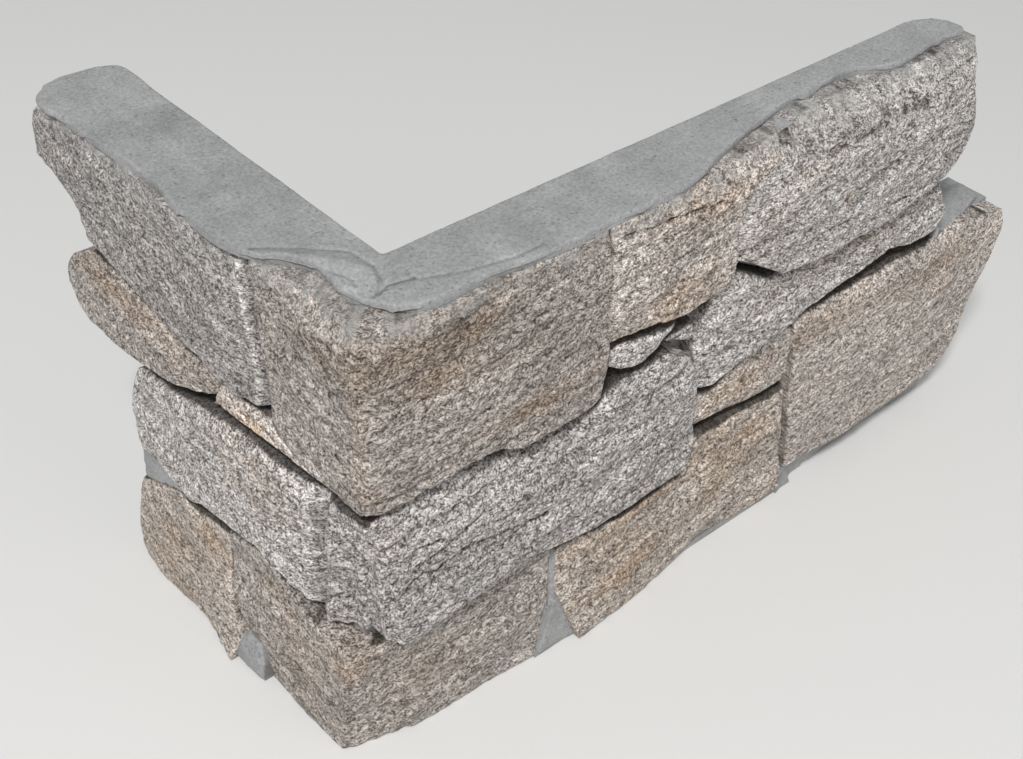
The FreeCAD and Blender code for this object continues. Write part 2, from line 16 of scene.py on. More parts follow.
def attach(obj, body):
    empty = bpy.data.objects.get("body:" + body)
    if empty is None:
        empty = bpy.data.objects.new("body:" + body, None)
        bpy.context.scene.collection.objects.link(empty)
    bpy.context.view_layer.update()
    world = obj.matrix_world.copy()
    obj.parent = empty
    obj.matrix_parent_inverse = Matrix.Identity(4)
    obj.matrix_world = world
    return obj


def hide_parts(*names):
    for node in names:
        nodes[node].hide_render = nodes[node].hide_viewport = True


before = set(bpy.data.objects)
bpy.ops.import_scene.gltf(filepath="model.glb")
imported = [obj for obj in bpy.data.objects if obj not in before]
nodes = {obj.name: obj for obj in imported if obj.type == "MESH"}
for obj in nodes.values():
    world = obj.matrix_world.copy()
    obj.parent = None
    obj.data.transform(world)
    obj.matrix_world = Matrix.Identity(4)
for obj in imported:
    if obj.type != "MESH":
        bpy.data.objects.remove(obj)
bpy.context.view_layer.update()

# %% [markdown]
# ## Camera, light and floor
# The photograph looks down at the outside corner of the piece from above. A camera could be aimed
# by eye, but its place was worked out from points on the edges of the piece, with the height of
# the piece taken as 200 mm, and it is written here as numbers. The light is that of an overcast
# day: a pale sky all round, a soft lamp high behind the camera and a little to its left, which
# draws the shadow under each overhanging stone, and a weak wide lamp low on the right.

# %% Camera
def unit(v):
    """The vector v at length one."""
    return np.asarray(v, float) / np.linalg.norm(v)


# the camera's place in mm, its direction, and its focal length in pixels of the photograph
camera_place = np.array([-266.404, -335.619, 497.940])
azimuth, elevation, roll = np.radians([-44.354, 39.019, 3.802])
focal_pixels, photo_wide, sensor_wide = 1611.57, 1023, 36.0

ahead = -np.array([np.sin(azimuth) * np.cos(elevation), -np.cos(azimuth) * np.cos(elevation),
                   np.sin(elevation)])
level = unit(np.cross(ahead, [0, 0, 1]))
above = np.cross(level, ahead)
right = np.cos(roll) * level + np.sin(roll) * above
upward = np.cos(roll) * above - np.sin(roll) * level

camera = bpy.data.objects.new("camera", bpy.data.cameras.new("camera"))
bpy.context.scene.collection.objects.link(camera)
turn = Matrix([right, upward, -ahead]).transposed().to_4x4()
camera.matrix_world = Matrix.Translation(camera_place / 1000) @ turn
camera.data.sensor_width = sensor_wide
camera.data.lens = focal_pixels / photo_wide * sensor_wide
bpy.context.scene.camera = camera
print("lens", round(camera.data.lens, 2), "mm")

# %% Sky and lamp
def linear(colour):
    """The linear colour of an sRGB hex code such as "#8a8277"."""
    code = np.array([int(colour[k:k + 2], 16) for k in (1, 3, 5)]) / 255
    return (*np.where(code <= 0.04045, code / 12.92, ((code + 0.055) / 1.055) ** 2.4), 1.0)


bpy.context.scene.view_settings.view_transform = "Standard"
world = bpy.data.worlds.new("overcast sky")
bpy.context.scene.world = world
world.use_nodes = True
sky = world.node_tree.nodes["Background"]
sky.inputs["Color"].default_value = linear("#f4f6f8")
sky.inputs["Strength"].default_value = 0.37


def lamp(name, place, target, size, power):
    """A square area lamp of that size in metres, turned to shine at target."""
    light = bpy.data.objects.new(name, bpy.data.lights.new(name, "AREA"))
    light.data.size, light.data.energy = size, power
    axis = unit(np.subtract(place, target))
    side = unit(np.cross([0, 0, 1], axis))
    turned = Matrix([side, np.cross(axis, side), axis]).transposed().to_4x4()
    light.matrix_world = Matrix.Translation(place) @ turned
    bpy.context.scene.collection.objects.link(light)


middle = (0.10, 0.05, 0.10)
lamp("window", (-1.05, -0.85, 2.05), middle, 0.38, 42)
lamp("fill", (0.6, -1.9, 0.9), middle, 1.4, 4)

# %% Floor
def node(tree, kind, links=(), **settings):
    """Add a node: settings are its properties or sockets, and links are (socket, source) pairs."""
    new = tree.nodes.new(kind)
    for key, value in settings.items():
        if hasattr(new, key):
            setattr(new, key, value)
        else:
            new.inputs[key.replace("_", " ")].default_value = value
    for socket, source in links:
        tree.links.new(new.inputs[socket], source)
    return new


def finish_material(name):
    """A new node material with its tree and its Principled shader."""
    material = bpy.data.materials.new(name)
    material.use_nodes = True
    return material, material.node_tree, material.node_tree.nodes["Principled BSDF"]


# half the width of the floor and its height, a hair under the feet of the stones, in metres
reach, sunk = 4.0, -0.0003
corners = [(-reach, -reach, sunk), (reach, -reach, sunk), (reach, reach, sunk), (-reach, reach, sunk)]
floor_mesh = bpy.data.meshes.new("floor")
floor_mesh.from_pydata(corners, [], [(0, 1, 2, 3)])
floor = bpy.data.objects.new("floor", floor_mesh)
bpy.context.scene.collection.objects.link(floor)
# rolled matt paint scatters the light evenly, so that the floor shows a soft shadow and no gloss
paint, tree, shader = finish_material("matt white paint")
shader.inputs["Base Color"].default_value = linear("#e9e8e6")
shader.inputs["Roughness"].default_value = 0.9
floor_mesh.materials.append(paint)
print("floor", 2 * reach, "m wide")

# %% [markdown]
# ## Numbers that look like broken stone
# Gneiss is a layered rock. When it is split, the face breaks in small flat facets across the
# crystals, and steps down from one layer to the next. A sculptor would chisel this; a displacement
# modifier could push a picture of it into the mesh. Here it is worked out with three kinds of
# random pattern, each a function of two lengths in millimetres, so that the grain has the size of
# the real one and every run gives the same stone.

# %% Soft hills
# the table of random heights is repeated after this many cells along and up
table_wide, table_high = 97, 89


def hills(u, z, long, high, seed):
    """Soft random hills from -1 to 1 on a lattice of long by high millimetres: the random heights
    at the four corners of a cell, blended with the curve 3t^2 - 2t^3 both ways."""
    a, b = u / long, z / high
    i, j = np.floor(a).astype(int), np.floor(b).astype(int)
    s, t = a - i, b - j
    s, t = s * s * (3 - 2 * s), t * t * (3 - 2 * t)
    table = np.random.default_rng(seed).uniform(-1, 1, (table_wide, table_high))
    here, beyond = i % table_wide, (i + 1) % table_wide
    foot, head = j % table_high, (j + 1) % table_high
    low = table[here, foot] * (1 - s) + table[beyond, foot] * s
    top = table[here, head] * (1 - s) + table[beyond, head] * s
    return low * (1 - t) + top * t


def rough(u, z, long, high, seed, octaves=4):
    """Hills on hills: each octave has cells half as large and heights 0.55 times as high."""
    parts = [0.55 ** k * hills(u, z, long / 2 ** k, high / 2 ** k, seed + k) for k in range(octaves)]
    return sum(parts)


print("hills at three places", hills(np.array([0.0, 3.0, 9.0]), np.zeros(3), 5.0, 4.0, 1).round(2))

# %% Broken facets
# the random points of the facets are repeated after this many cells along and up
facets_wide, facets_high = 61, 67


def facets(u, z, long, high, seed, lean):
    """Flat facets of about long by high millimetres, each leaning its own way: every lattice cell
    throws one random point, a place belongs to the nearest point, and its height is that point's
    slope times the distance from it plus a small random step."""
    a, b = u / long, z / high
    i, j = np.floor(a).astype(int), np.floor(b).astype(int)
    tables = np.random.default_rng(seed).uniform(0, 1, (5, facets_wide, facets_high))
    nearest, height = np.full(a.shape, 1e9), np.zeros(a.shape)
    for di in (-1, 0, 1):
        for dj in (-1, 0, 1):
            p, q = (i + di) % facets_wide, (j + dj) % facets_high
            across, up = a - i - di - tables[0, p, q], b - j - dj - tables[1, p, q]
            gap = across ** 2 + up ** 2
            slope = lean * (across * long * (tables[2, p, q] - 0.5) + up * high * (tables[3, p, q] - 0.5))
            step = 0.35 * lean * (tables[4, p, q] - 0.5) * high
            height = np.where(gap < nearest, slope + step, height)
            nearest = np.minimum(gap, nearest)
    return height


print("facets at three places", facets(np.array([0.0, 3.0, 9.0]), np.zeros(3), 9.0, 4.0, 1, 0.5).round(2))

# %% Layers of the rock
def layers(u, z, spacing, seed):
    """Steps where the layers of the rock end, from -1 to 0: the height above wavy beds is cut
    into whole beds, and within each bed the face leans back by one unit and then jumps out
    again, so that light falls on the bed and a dark line runs under the one above it. Each step
    comes and goes along its bed with hills of 24 mm."""
    beds = (z + 2.2 * rough(u, z, 42.0, 11.0, seed, 3)) / spacing
    share = beds - np.floor(beds)
    number = np.floor(beds).astype(int)
    wide = hills(u, number * 7.3, 24.0, 1.0, seed + 9) * 0.5 + 0.5
    return -share * np.clip(1.6 * wide - 0.35, 0, 1)


print("one bed every few millimetres", layers(np.zeros(4), np.array([0.0, 2, 4, 6]), 8.0, 3).round(2))

# %% [markdown]
# ## From a flat facet model to a stone's face
# A stone in the solid model has a coarse front of flat facets. Its outline is right, so it is kept
# as it is: the outline is read from the model, cut at its four corners, and stretched into a grid
# of points about 0.64 mm apart, a Coons patch. The coarse depths are blended over that grid, and
# the random patterns are added. A flat stone is worked out on the wall face, with its distance
# along the leg and its height. A corner stone is first unfolded round its ridge, so that one grid
# runs over both faces and the ridge stays sharp.

# %% Read a stone's coarse front
# depth of the flat backs of the stones on each leg, and what counts as on them, in mm
seat_long, seat_short, close = 10.0, 12.0, 0.05


def coarse_front(name, leg):
    """Points (along, height, depth) of a solid stone's front and its triangles, in millimetres.
    Along is x on the long leg and y on the short leg. Round the corner it is x - y and the depth
    is -(x + y), which unfolds both faces into one. Triangles that touch the back are left out."""
    mesh = nodes[name].data
    place = np.zeros(3 * len(mesh.vertices), np.float32)
    mesh.vertices.foreach_get("co", place)
    mesh.calc_loop_triangles()
    corners = np.zeros(3 * len(mesh.loop_triangles), np.int32)
    mesh.loop_triangles.foreach_get("vertices", corners)
    hundredths = np.round(place.reshape(-1, 3).astype(float) * 1000, 2)
    points, merged = np.unique(hundredths, axis=0, return_inverse=True)
    x, y, z = points.T
    if leg == "long":
        along, depth, back = x, -y, y > -seat_long - close
    elif leg == "short":
        along, depth, back = y, -x, x > -seat_short - close
    else:
        along, depth = x - y, -(x + y)
        back = ((abs(x + seat_short) < close) & (y > -seat_long - 2)
                | (abs(y + seat_long) < close) & (x > -seat_short - 2))
    triangles = merged.ravel()[corners].reshape(-1, 3)
    triangles = triangles[~back[triangles].any(axis=1)]
    return np.column_stack([along, z, depth]), triangles


def outline(triangles):
    """The edges that only one front triangle uses, chained into one loop of point numbers."""
    edges = np.concatenate([triangles[:, [0, 1]], triangles[:, [1, 2]], triangles[:, [2, 0]]])
    pairs = {(a, b) for a, b in edges.tolist() if a != b}
    onward = {a: b for a, b in pairs if (b, a) not in pairs}
    loop = [min(onward)]
    while len(loop) < len(onward):
        loop.append(onward[loop[-1]])
    return loop


points, triangles = coarse_front("top_inner_stone", "long")
print("coarse front", len(np.unique(triangles)), "points, outline of", len(outline(triangles)))

# %% Stretch a fine grid inside the outline
def four_sides(loop):
    """Cut a closed loop of (along, height) points at its four corners, the points furthest out
    along the diagonals, and give foot, head, near and far edges."""
    low, size = loop.min(axis=0), np.ptp(loop, axis=0)
    a, b = ((loop - low) / size).T
    marks = [int(np.argmin(a + b)), int(np.argmax(a - b)), int(np.argmax(a + b)), int(np.argmin(a - b))]
    if (marks[1] - marks[0]) % len(loop) > (marks[3] - marks[0]) % len(loop):
        return four_sides(loop[::-1])
    sides = []
    for start, stop in zip(marks, marks[1:] + marks[:1]):
        sides.append(loop[np.arange(start, start + (stop - start) % len(loop) + 1) % len(loop)])
    foot, far, head, near = sides
    return foot, head[::-1], near[::-1], far


def spread(line, count):
    """A polyline as count + 1 points at even distances along it."""
    run = np.concatenate([[0], np.cumsum(np.hypot(*np.diff(line, axis=0).T))])
    at = np.linspace(0, run[-1], count + 1)
    return np.column_stack([np.interp(at, run, line[:, k]) for k in (0, 1)])


def coons(foot, head, near, far, cell):
    """Coons patch: the point at shares (s, t) is foot and head blended by t, plus near and far
    blended by s, less the four corners blended by both."""
    columns = int(max(np.ptp(foot[:, 0]), np.ptp(head[:, 0])) / cell)
    rows = int(max(np.ptp(near[:, 1]), np.ptp(far[:, 1])) / cell)
    foot, head = spread(foot, columns), spread(head, columns)
    near, far = spread(near, rows), spread(far, rows)
    s, t = np.linspace(0, 1, columns + 1)[:, None, None], np.linspace(0, 1, rows + 1)[None, :, None]
    return ((1 - t) * foot[:, None] + t * head[:, None] + (1 - s) * near[None] + s * far[None]
            - (1 - s) * ((1 - t) * foot[0] + t * head[0]) - s * ((1 - t) * foot[-1] + t * head[-1]))


def blend(grid, known, values, reach=3.2):
    """Average of the known values, each weighted by exp(-distance^2 / (2 reach^2))."""
    result = np.zeros(grid.shape[:2])
    for i, line in enumerate(grid):
        gap = ((line[:, None] - known[None]) ** 2).sum(axis=2)
        weight = np.exp(-gap / (2 * reach ** 2)) + 1e-9
        result[i] = weight @ values / weight.sum(axis=1)
    return result


def edge_distance(grid, loop):
    """Distance from each grid point to the nearest of the outline's points."""
    return np.sqrt(np.array([((line[:, None] - loop[None]) ** 2).sum(axis=2).min(axis=1) for line in grid]))


def smoothed(values, turns):
    """Values averaged with their four neighbours, again and again."""
    for _ in range(turns):
        wide = np.pad(values, 1, mode="edge")
        values = (wide[2:, 1:-1] + wide[:-2, 1:-1] + wide[1:-1, 2:] + wide[1:-1, :-2] + 2 * values) / 6
    return values


def rim(grid):
    """The points round the edge of a grid, in order: foot, far end, head, near end."""
    return np.concatenate([grid[:-1, 0], grid[-1, :-1], grid[:0:-1, -1], grid[0, :0:-1]])


oblong = [np.array(line, float) for line in
          ([(0, 0), (9, 0)], [(0, 6), (9, 6)], [(0, 0), (0, 6)], [(9, 0), (9, 6)])]
print("a patch of 9 by 6 mm in cells of 3 mm has", len(rim(coons(*oblong, 3.0))), "points round its edge")

# %% [markdown]
# ## The break of each stone
# Every stone broke in its own way. The middle corner stone opened along many thin layers, the top
# one is smoother with rough chips, and the end stone and the low corner stone broke flatter. So
# each stone gets its own few numbers: how rough it is, how thick its layers are, how deep their
# steps go, and how far the layers tilt. Listed marks add the cracks and hollows that the
# eye would miss.

# %% Numbers for each stone
# leg, slot, seed, roughness in mm, layer thickness in mm, layer step in mm, tilt of the layers,
# and how far in mm the head swells under the stone above before it drops into the open joint
breaks = {
    "top_corner_stone": ("corner", "beige_gneiss", 11, 0.50, 11.0, 0.75, 0.10, 0.0),
    "mid_corner_stone": ("corner", "grey_gneiss", 23, 0.60, 9.0, 1.70, 0.05, 1.7),
    "low_corner_stone": ("corner", "beige_gneiss", 37, 0.36, 12.0, 0.40, 0.12, 0.6),
    "top_inner_stone": ("long", "beige_gneiss", 41, 0.65, 11.0, 0.90, 0.14, 0.0),
    "top_outer_stone": ("long", "grey_gneiss", 53, 0.62, 13.0, 0.90, 0.10, 0.0),
    "long_mid_stone": ("long", "grey_gneiss", 67, 0.60, 8.0, 1.10, 0.10, 1.0),
    "chip_under_top_course": ("long", "grey_gneiss", 71, 0.50, 5.0, 1.00, 0.20, 0.6),
    "chip_over_mid_corner": ("long", "grey_gneiss", 73, 0.35, 5.0, 0.50, 0.20, 0.6),
    "end_stone": ("long", "beige_gneiss", 83, 0.34, 16.0, 0.40, 0.10, 1.3),
    "thin_stone": ("long", "beige_gneiss", 89, 0.60, 8.0, 0.90, 0.12, 0.8),
    "low_mid_stone": ("long", "brown_gneiss", 97, 0.62, 12.0, 0.70, 0.12, 0.7),
    "low_inner_stone": ("long", "brown_gneiss", 101, 0.55, 13.0, 0.50, 0.10, 0.7),
    "short_top_stone": ("short", "grey_gneiss", 113, 0.40, 14.0, 0.50, 0.25, 0.0),
    "short_wedge_stone": ("short", "beige_gneiss", 127, 0.55, 9.0, 0.90, 0.20, 1.0),
    "short_sliver": ("short", "beige_gneiss", 131, 0.45, 5.0, 1.00, 0.10, 0.8),
    "short_mid_stone": ("short", "grey_gneiss", 139, 0.60, 11.0, 0.80, 0.20, 1.3),
    "short_low_stone": ("short", "brown_gneiss", 149, 0.36, 13.0, 0.40, 0.20, 0.5),
}
# columns of this table that are read on their own
slot_at, seed_at, swell_at = 1, 2, 7
print("stones", len(breaks), "stone nodes", len(nodes) - 1)

# %% Tints of the stones
# overall tone, then patches: along and height of the middle, half sizes, change of tone, rust
tints = {
    "top_corner_stone": (0.82, [
        (-24, 194, 24, 5, 0.16, 0.1), (-22, 182, 20, 5, -0.14, 0.4), (22, 188, 34, 8, -0.22, 0.7),
        (30, 173, 18, 7, 0.08, 0.8), (55, 172, 24, 8, -0.14, 0.0), (50, 145, 30, 10, 0.02, 0.0),
        (74, 139, 24, 6, 0.08, 0.8), (-4, 160, 4, 24, 0.12, 0.5), (2, 134, 9, 8, 0.08, 0.4),
        (82, 164, 10, 16, -0.10, 0.1), (12, 152, 9, 9, -0.12, 0.0), (44, 184, 9, 5, 0.04, 0.5)]),
    "mid_corner_stone": (0.92, [
        (5, 108, 20, 6, 0.03, 0.3), (38, 84, 30, 16, -0.16, 0.0), (-14, 88, 10, 22, -0.14, 0.0),
        (70, 112, 26, 5, 0.07, 0.1), (110, 85, 16, 9, 0.03, 0.3), (40, 72, 28, 5, -0.04, 0.0)]),
    "low_corner_stone": (0.85, [
        (-10, 48, 12, 9, 0.02, 0.7), (26, 30, 24, 14, 0.0, 0.3), (-40, 30, 14, 20, 0.0, 0.4)]),
    "top_inner_stone": (1.11, [
        (120, 190, 26, 6, -0.03, 0.7), (112, 156, 18, 6, 0.02, 0.7), (86, 172, 12, 18, 0.05, 0.0)]),
    "top_outer_stone": (1.02, [
        (202, 163, 5, 4, -0.05, 1.0), (158, 165, 12, 18, 0.06, 0.3), (180, 194, 40, 4, -0.12, 0.4),
        (228, 187, 26, 3, -0.25, 0.1), (236, 172, 20, 10, 0.0, 0.1)]),
    "long_mid_stone": (1.05, [(160, 122, 24, 9, 0.05, 0.2), (230, 128, 40, 6, 0.0, 0.5)]),
    "chip_under_top_course": (1.06, []),
    "chip_over_mid_corner": (1.0, []),
    "end_stone": (1.05, [(215, 94, 30, 7, 0.0, 0.5), (290, 92, 30, 7, -0.04, 0.6)]),
    "thin_stone": (1.08, [(160, 84, 20, 8, 0.02, 0.7)]),
    "low_mid_stone": (1.01, [
        (150, 40, 14, 14, -0.02, 0.5), (180, 55, 12, 8, 0.04, 0.6), (160, 18, 26, 7, 0.06, 0.0)]),
    "low_inner_stone": (0.98, [(66, 30, 5, 24, 0.10, 0.0), (95, 35, 20, 16, 0.0, 0.5)]),
    "short_top_stone": (0.75, [(150, 185, 12, 14, 0.04, 0.0), (60, 160, 24, 14, 0.02, 0.2)]),
    "short_wedge_stone": (0.90, [(110, 136, 40, 7, 0.02, 0.5), (110, 118, 36, 7, -0.02, 0.0)]),
    "short_sliver": (1.34, [(32, 124, 9, 4, 0.0, 1.0)]),
    "short_mid_stone": (1.04, [(18, 106, 14, 9, 0.03, 0.6), (80, 85, 26, 16, 0.03, 0.0)]),
    "short_low_stone": (0.97, [
        (60, 48, 9, 8, 0.03, 0.8), (46, 40, 2.2, 14, 0.25, 0.0), (90, 20, 24, 16, 0.0, 0.4)]),
}


def tint(name, u, z):
    """Tone and rust at each point: every patch adds its amount times exp(-r^2), where r is the
    distance from its middle measured in its half sizes. Its rim is frayed by hills of about
    3.5 mm, lower where its half width is under 8 mm, and rust is drawn at 0.6 of the amount given."""
    tone, patches = tints[name]
    tone, rust = np.full(u.shape, tone), np.zeros(u.shape)
    fray = 3.5 * rough(u, z, 12.0, 6.0, breaks[name][seed_at] + 12, 4)
    for along, height, half_u, half_z, change, amount in patches:
        bent = fray * min(1, half_u / 8)
        near = np.exp(-((u + bent - along) / half_u) ** 2 - ((z + 0.6 * bent - height) / half_z) ** 2)
        tone, rust = tone + change * near, rust + 0.6 * amount * near
    return {"tone": tone, "rust": np.clip(rust, 0, 1)}


print("tinted stones", len(tints))

# %% Marks drawn on the stones
# width and depth in mm, then (along, height) points, in the stone's own unfolded lengths
marks = {
    "mid_corner_stone": [(0.9, 1.8, [(12, 82), (22, 88), (32, 88), (41, 90), (50, 89), (66, 86), (84, 84)]),
                         (0.8, 1.3, [(22, 92), (31, 94), (42, 98), (54, 103), (67, 107), (89, 103)]),
                         (0.7, 1.1, [(-24, 70), (-10, 78), (1, 80), (10, 82)]),
                         (0.7, 0.9, [(60, 95), (84, 94), (110, 98), (128, 97)])],
    "top_corner_stone": [(0.7, 0.8, [(-2, 130), (16, 127), (27, 124)]),
                         (1.6, 0.9, [(7, 171), (18, 168), (28, 165)])],
    "top_inner_stone": [(0.8, 1.5, [(80, 192), (94, 191), (113, 189), (128, 188)]),
                        (0.8, 1.2, [(96, 170), (118, 173), (140, 176)])],
    "top_outer_stone": [(1.0, 1.6, [(145, 156), (157, 147), (168, 139)]),
                        (2.2, 2.4, [(190, 186), (209, 186), (226, 188), (238, 188), (252, 186)]),
                        (2.4, 2.2, [(226, 189), (236, 190.5), (246, 191)]),
                        (1.6, 1.4, [(201, 161), (203, 161)]),
                        (0.9, 1.2, [(236, 145), (250, 145), (263, 144)])],
    "end_stone": [(1.0, 1.0, [(205, 76), (220, 80), (240, 82)])],
    "low_mid_stone": [(0.8, 1.0, [(140, 48), (160, 52), (186, 50)])],
    "short_top_stone": [(0.7, 0.7, [(60, 160), (90, 168), (120, 178)])],
    "short_mid_stone": [(0.8, 0.9, [(20, 84), (45, 92), (70, 94)])],
}


def grooves(name, grid):
    """Depth of the listed marks: each is a groove of depth times exp(-(distance / width)^2)
    from its line."""
    total = np.zeros(grid.shape[:2])
    for width, depth, line in marks.get(name, []):
        trail = spread(np.array(line, float), 40)
        total += depth * np.exp(-(edge_distance(grid, trail) / width) ** 2)
    return total


print("stones with marks", len(marks))

# %% Joints and chamfers
# these two heads are covered from one length along to another, the others all along
covered_span = {"end_stone": (-1000.0, 288.0), "low_corner_stone": (-2.0, 1000.0)}
# width and depth in mm of the chamfer at the near end, how pale its arris is and how much painted shade
# darkens its face
chamfers = {"short_top_stone": (6.5, 5.0, 0.55, 0.10), "short_mid_stone": (8.5, 6.5, 0.10, 0.25)}


def head_distance(grid):
    """Distance of each grid point below the head of its own column."""
    return grid[:, -1:, 1] - grid[..., 1]


def covered(name, u):
    """1 where a stone lies over the head of this one and 0 where nothing does, with a slope of
    6 mm between them."""
    start, stop = covered_span.get(name, (-1000.0, 1000.0))
    return np.clip((stop - u) / 6, 0, 1) * np.clip((u - start) / 6, 0, 1)


def settle(grid, name):
    """Move the outline into its joints: the upright joints close to a hair, since the stones were
    packed side by side, while the chips shrink in their hole. A covered head sinks by 0.8 of its
    swell, at most 1.4 mm, and that fades out down the top quarter."""
    s = np.linspace(-1, 1, grid.shape[0])[:, None]
    t = np.linspace(0, 1, grid.shape[1])[None, :]
    wider = -0.9 if name.startswith("chip") else 0.6
    sunk = min(1.4, 0.8 * breaks[name][swell_at])
    grid = grid.copy()
    grid[..., 0] += wider * s
    grid[..., 1] -= sunk * covered(name, grid[..., 0]) * np.clip(4 * t - 3, 0, 1)
    return grid


def chamfer_share(name, grid):
    """1 at the near end of a stone that is chamfered there, 0 from the chamfer's arris on."""
    wide = chamfers.get(name, (1e-3,))[0]
    return np.clip(1 - (grid[..., 0] - grid[:1, :, 0]) / wide, 0, 1)


print("stones with a swollen head", sum(row[swell_at] > 0 for row in breaks.values()))

# %% Numbers for the finish
# the heads of these stones lie under the cement skin
under_skin = ("top", "short_top")


def point_values(name, grid, broken):
    """Numbers the finish reads: how hollow a place is, for painted shade in hollows and a painted
    highlight on crests, more painted shade in the joint under another stone, and its tone and
    rust; the arris of a chamfer is bruised pale and its face darkened with painted shade, and the
    heads under the cement skin are dusted with cement."""
    u, z = grid[..., 0], grid[..., 1]
    values = {"hollow": smoothed(broken, 12) - broken, **tint(name, u, z)}
    if name.startswith(under_skin):
        patchy = np.clip(0.6 + 0.7 * rough(u, z, 4.0, 3.0, breaks[name][seed_at] + 14, 3), 0, 1)
        values["dusted"] = patchy * np.exp(-(head_distance(grid) / 5.0) ** 2)
    # painted shade in the open joint under the stone above
    if breaks[name][swell_at]:
        values["hollow"] += 1.1 * covered(name, u) * np.exp(-(head_distance(grid) / 1.3) ** 2)
    if name in chamfers:
        share = chamfer_share(name, grid)
        pale, dark = chamfers[name][2:]
        # the chamfer's face is darkened with painted shade
        values["tone"] += pale * np.exp(-((share - 0.04) / 0.14) ** 2) * (share > 0) - dark * (share > 0.2)
    return values


print("stones dusted with cement", [name for name in breaks if name.startswith(under_skin)])

# %% The broken face
def quarter_round(share):
    """Drop of a quarter circle of radius one, 1 - sqrt(1 - share^2), from 0 to its rim at 1."""
    return 1 - np.sqrt(1 - np.clip(share, 0, 0.99) ** 2)


def broken_face(name, grid):
    """Height of the break over the coarse face: rough hills, two sizes of facets and the steps of
    thick and thin layers, weaker within 4 mm of the rim. The chamfer is taken off, and the arris
    is worn back to a quarter round of random radius. A head under another stone swells by a bell
    curve and then drops into the joint by a quarter round. The marks are taken off last."""
    seed, roughness, thick, step, tilt, swell = breaks[name][seed_at:]
    u, z = grid[..., 0], grid[..., 1]
    level = z - tilt * abs(u)
    face = 0.8 * roughness * rough(u, level, 19.0, 8.0, seed, 5)
    face += facets(u + 1.5 * hills(u, z, 4, 3, seed), level, 9.0, 4.2, seed + 1, 0.42 * roughness)
    face += facets(u + hills(u, z, 3, 2, seed + 8), level, 3.2, 1.4, seed + 2, 0.85 * roughness)
    face += 0.24 * roughness * hills(u, level, 1.3, 0.9, seed + 4)
    thick_beds = layers(u, level, thick, seed + 3)
    thin_beds = layers(u, level, thick * 0.33, seed + 5)
    face += step * (thick_beds + 0.4 * thin_beds + 0.3)
    gap = edge_distance(grid, rim(grid))
    face *= 0.3 + 0.7 * np.clip(gap / 4, 0, 1)
    face -= chamfers.get(name, (0, 0))[1] * chamfer_share(name, grid)
    radius = 0.35 + 1.3 * np.clip(rough(u, z, 6.0, 5.0, seed + 7, 3) - 0.15, 0, 1)
    face -= radius * quarter_round(1 - gap / radius)
    if swell:
        over = covered(name, u)
        under = head_distance(grid) + 0.6 * hills(u, z, 5.0, 5.0, seed + 10)
        bell = np.exp(-(np.maximum(under - 2, 0) / 6.5) ** 2)
        face += over * swell * np.clip(under / 2.0, 0, 1) * bell
        face -= over * (0.4 + 1.2 * swell) * quarter_round(1 - under / 1.8)
    return face - grooves(name, grid)


sample = broken_face("mid_corner_stone", coons(*(3 * line for line in oblong), 1.0))
print("the break of 27 by 18 mm of stone is", round(float(np.ptp(sample)), 1), "mm deep")

# %% [markdown]
# ## Closing a stone
# A stone that is only a face would look like a mask from the side. Walls run from the edge of the
# face straight back to its seat in the cement, in a few rings that wander a little inwards, and a
# flat back closes it. The back lies in the pocket of the cement, where the real stone is bonded.

# %% Ring walls
def walls(front, back, seed, shares=(0.04, 0.10, 0.20, 0.38, 0.65, 1.0)):
    """Rings between the rims of the front and the back: each is the front rim moved a share of
    the way back, and inwards by up to 0.6 mm, less near both ends."""
    inward = np.cross(np.roll(front, -1, axis=0) - np.roll(front, 1, axis=0), back - front)
    inward /= np.linalg.norm(inward, axis=1)[:, None] + 1e-9
    if (inward * (front.mean(axis=0) - front)).sum() < 0:
        inward = -inward
    run = np.concatenate([[0], np.cumsum(np.linalg.norm(np.diff(front, axis=0), axis=1))])
    rings = []
    for share in shares:
        deep = share * np.linalg.norm(back - front, axis=1)
        wander = 0.45 * (rough(run, deep, 5.0, 2.5, seed, 3) * 0.5 + 0.5) * min(1, 5 * share) * (1 - share)
        rings.append(front + (back - front) * share + inward * np.clip(wander, 0, 0.6)[:, None])
    return rings


def lifted(grid, height):
    """Points (x, y, height) from a grid of (x, y)."""
    return np.concatenate([grid, np.broadcast_to(height, grid.shape[:2])[..., None]], axis=2)


tile = rim(lifted(coons(*oblong, 1.0), 5.0))
print("walls of a small tile", len(walls(tile, tile - [0, 0, 5.0], 1)), "rings of", len(tile), "points")

# %% Write a mesh
def put_mesh(name, places, quads, faces, values):
    """Write points in millimetres, quads, flat faces and one number per point into an object."""
    mesh = bpy.data.meshes.new(name)
    loops = np.concatenate([quads.ravel()] + list(faces)).astype(np.int32)
    sizes = np.concatenate([np.full(len(quads), 4), [len(face) for face in faces]]).astype(np.int32)
    mesh.vertices.add(len(places))
    mesh.vertices.foreach_set("co", (places / 1000).ravel())
    mesh.loops.add(len(loops))
    mesh.loops.foreach_set("vertex_index", loops)
    mesh.polygons.add(len(sizes))
    mesh.polygons.foreach_set("loop_start", np.concatenate([[0], np.cumsum(sizes)[:-1]]).astype(np.int32))
    smooth = np.ones(len(sizes), bool)
    smooth[len(quads):] = False
    mesh.polygons.foreach_set("use_smooth", smooth)
    mesh.update(calc_edges=True)
    for title, numbers in values.items():
        mesh.attributes.new(title, "FLOAT", "POINT").data.foreach_set("value", numbers.astype(np.float32))
    piece = bpy.data.objects.new(name, mesh)
    bpy.context.scene.collection.objects.link(piece)
    return piece


def volume(places, quads):
    """Volume inside the quads, as the sum of the pyramids from the middle point."""
    a, b, c, d = (places[quads[:, k]] - places.mean(axis=0) for k in range(4))
    return ((a * np.cross(b, c)).sum() + (a * np.cross(c, d)).sum()) / 6


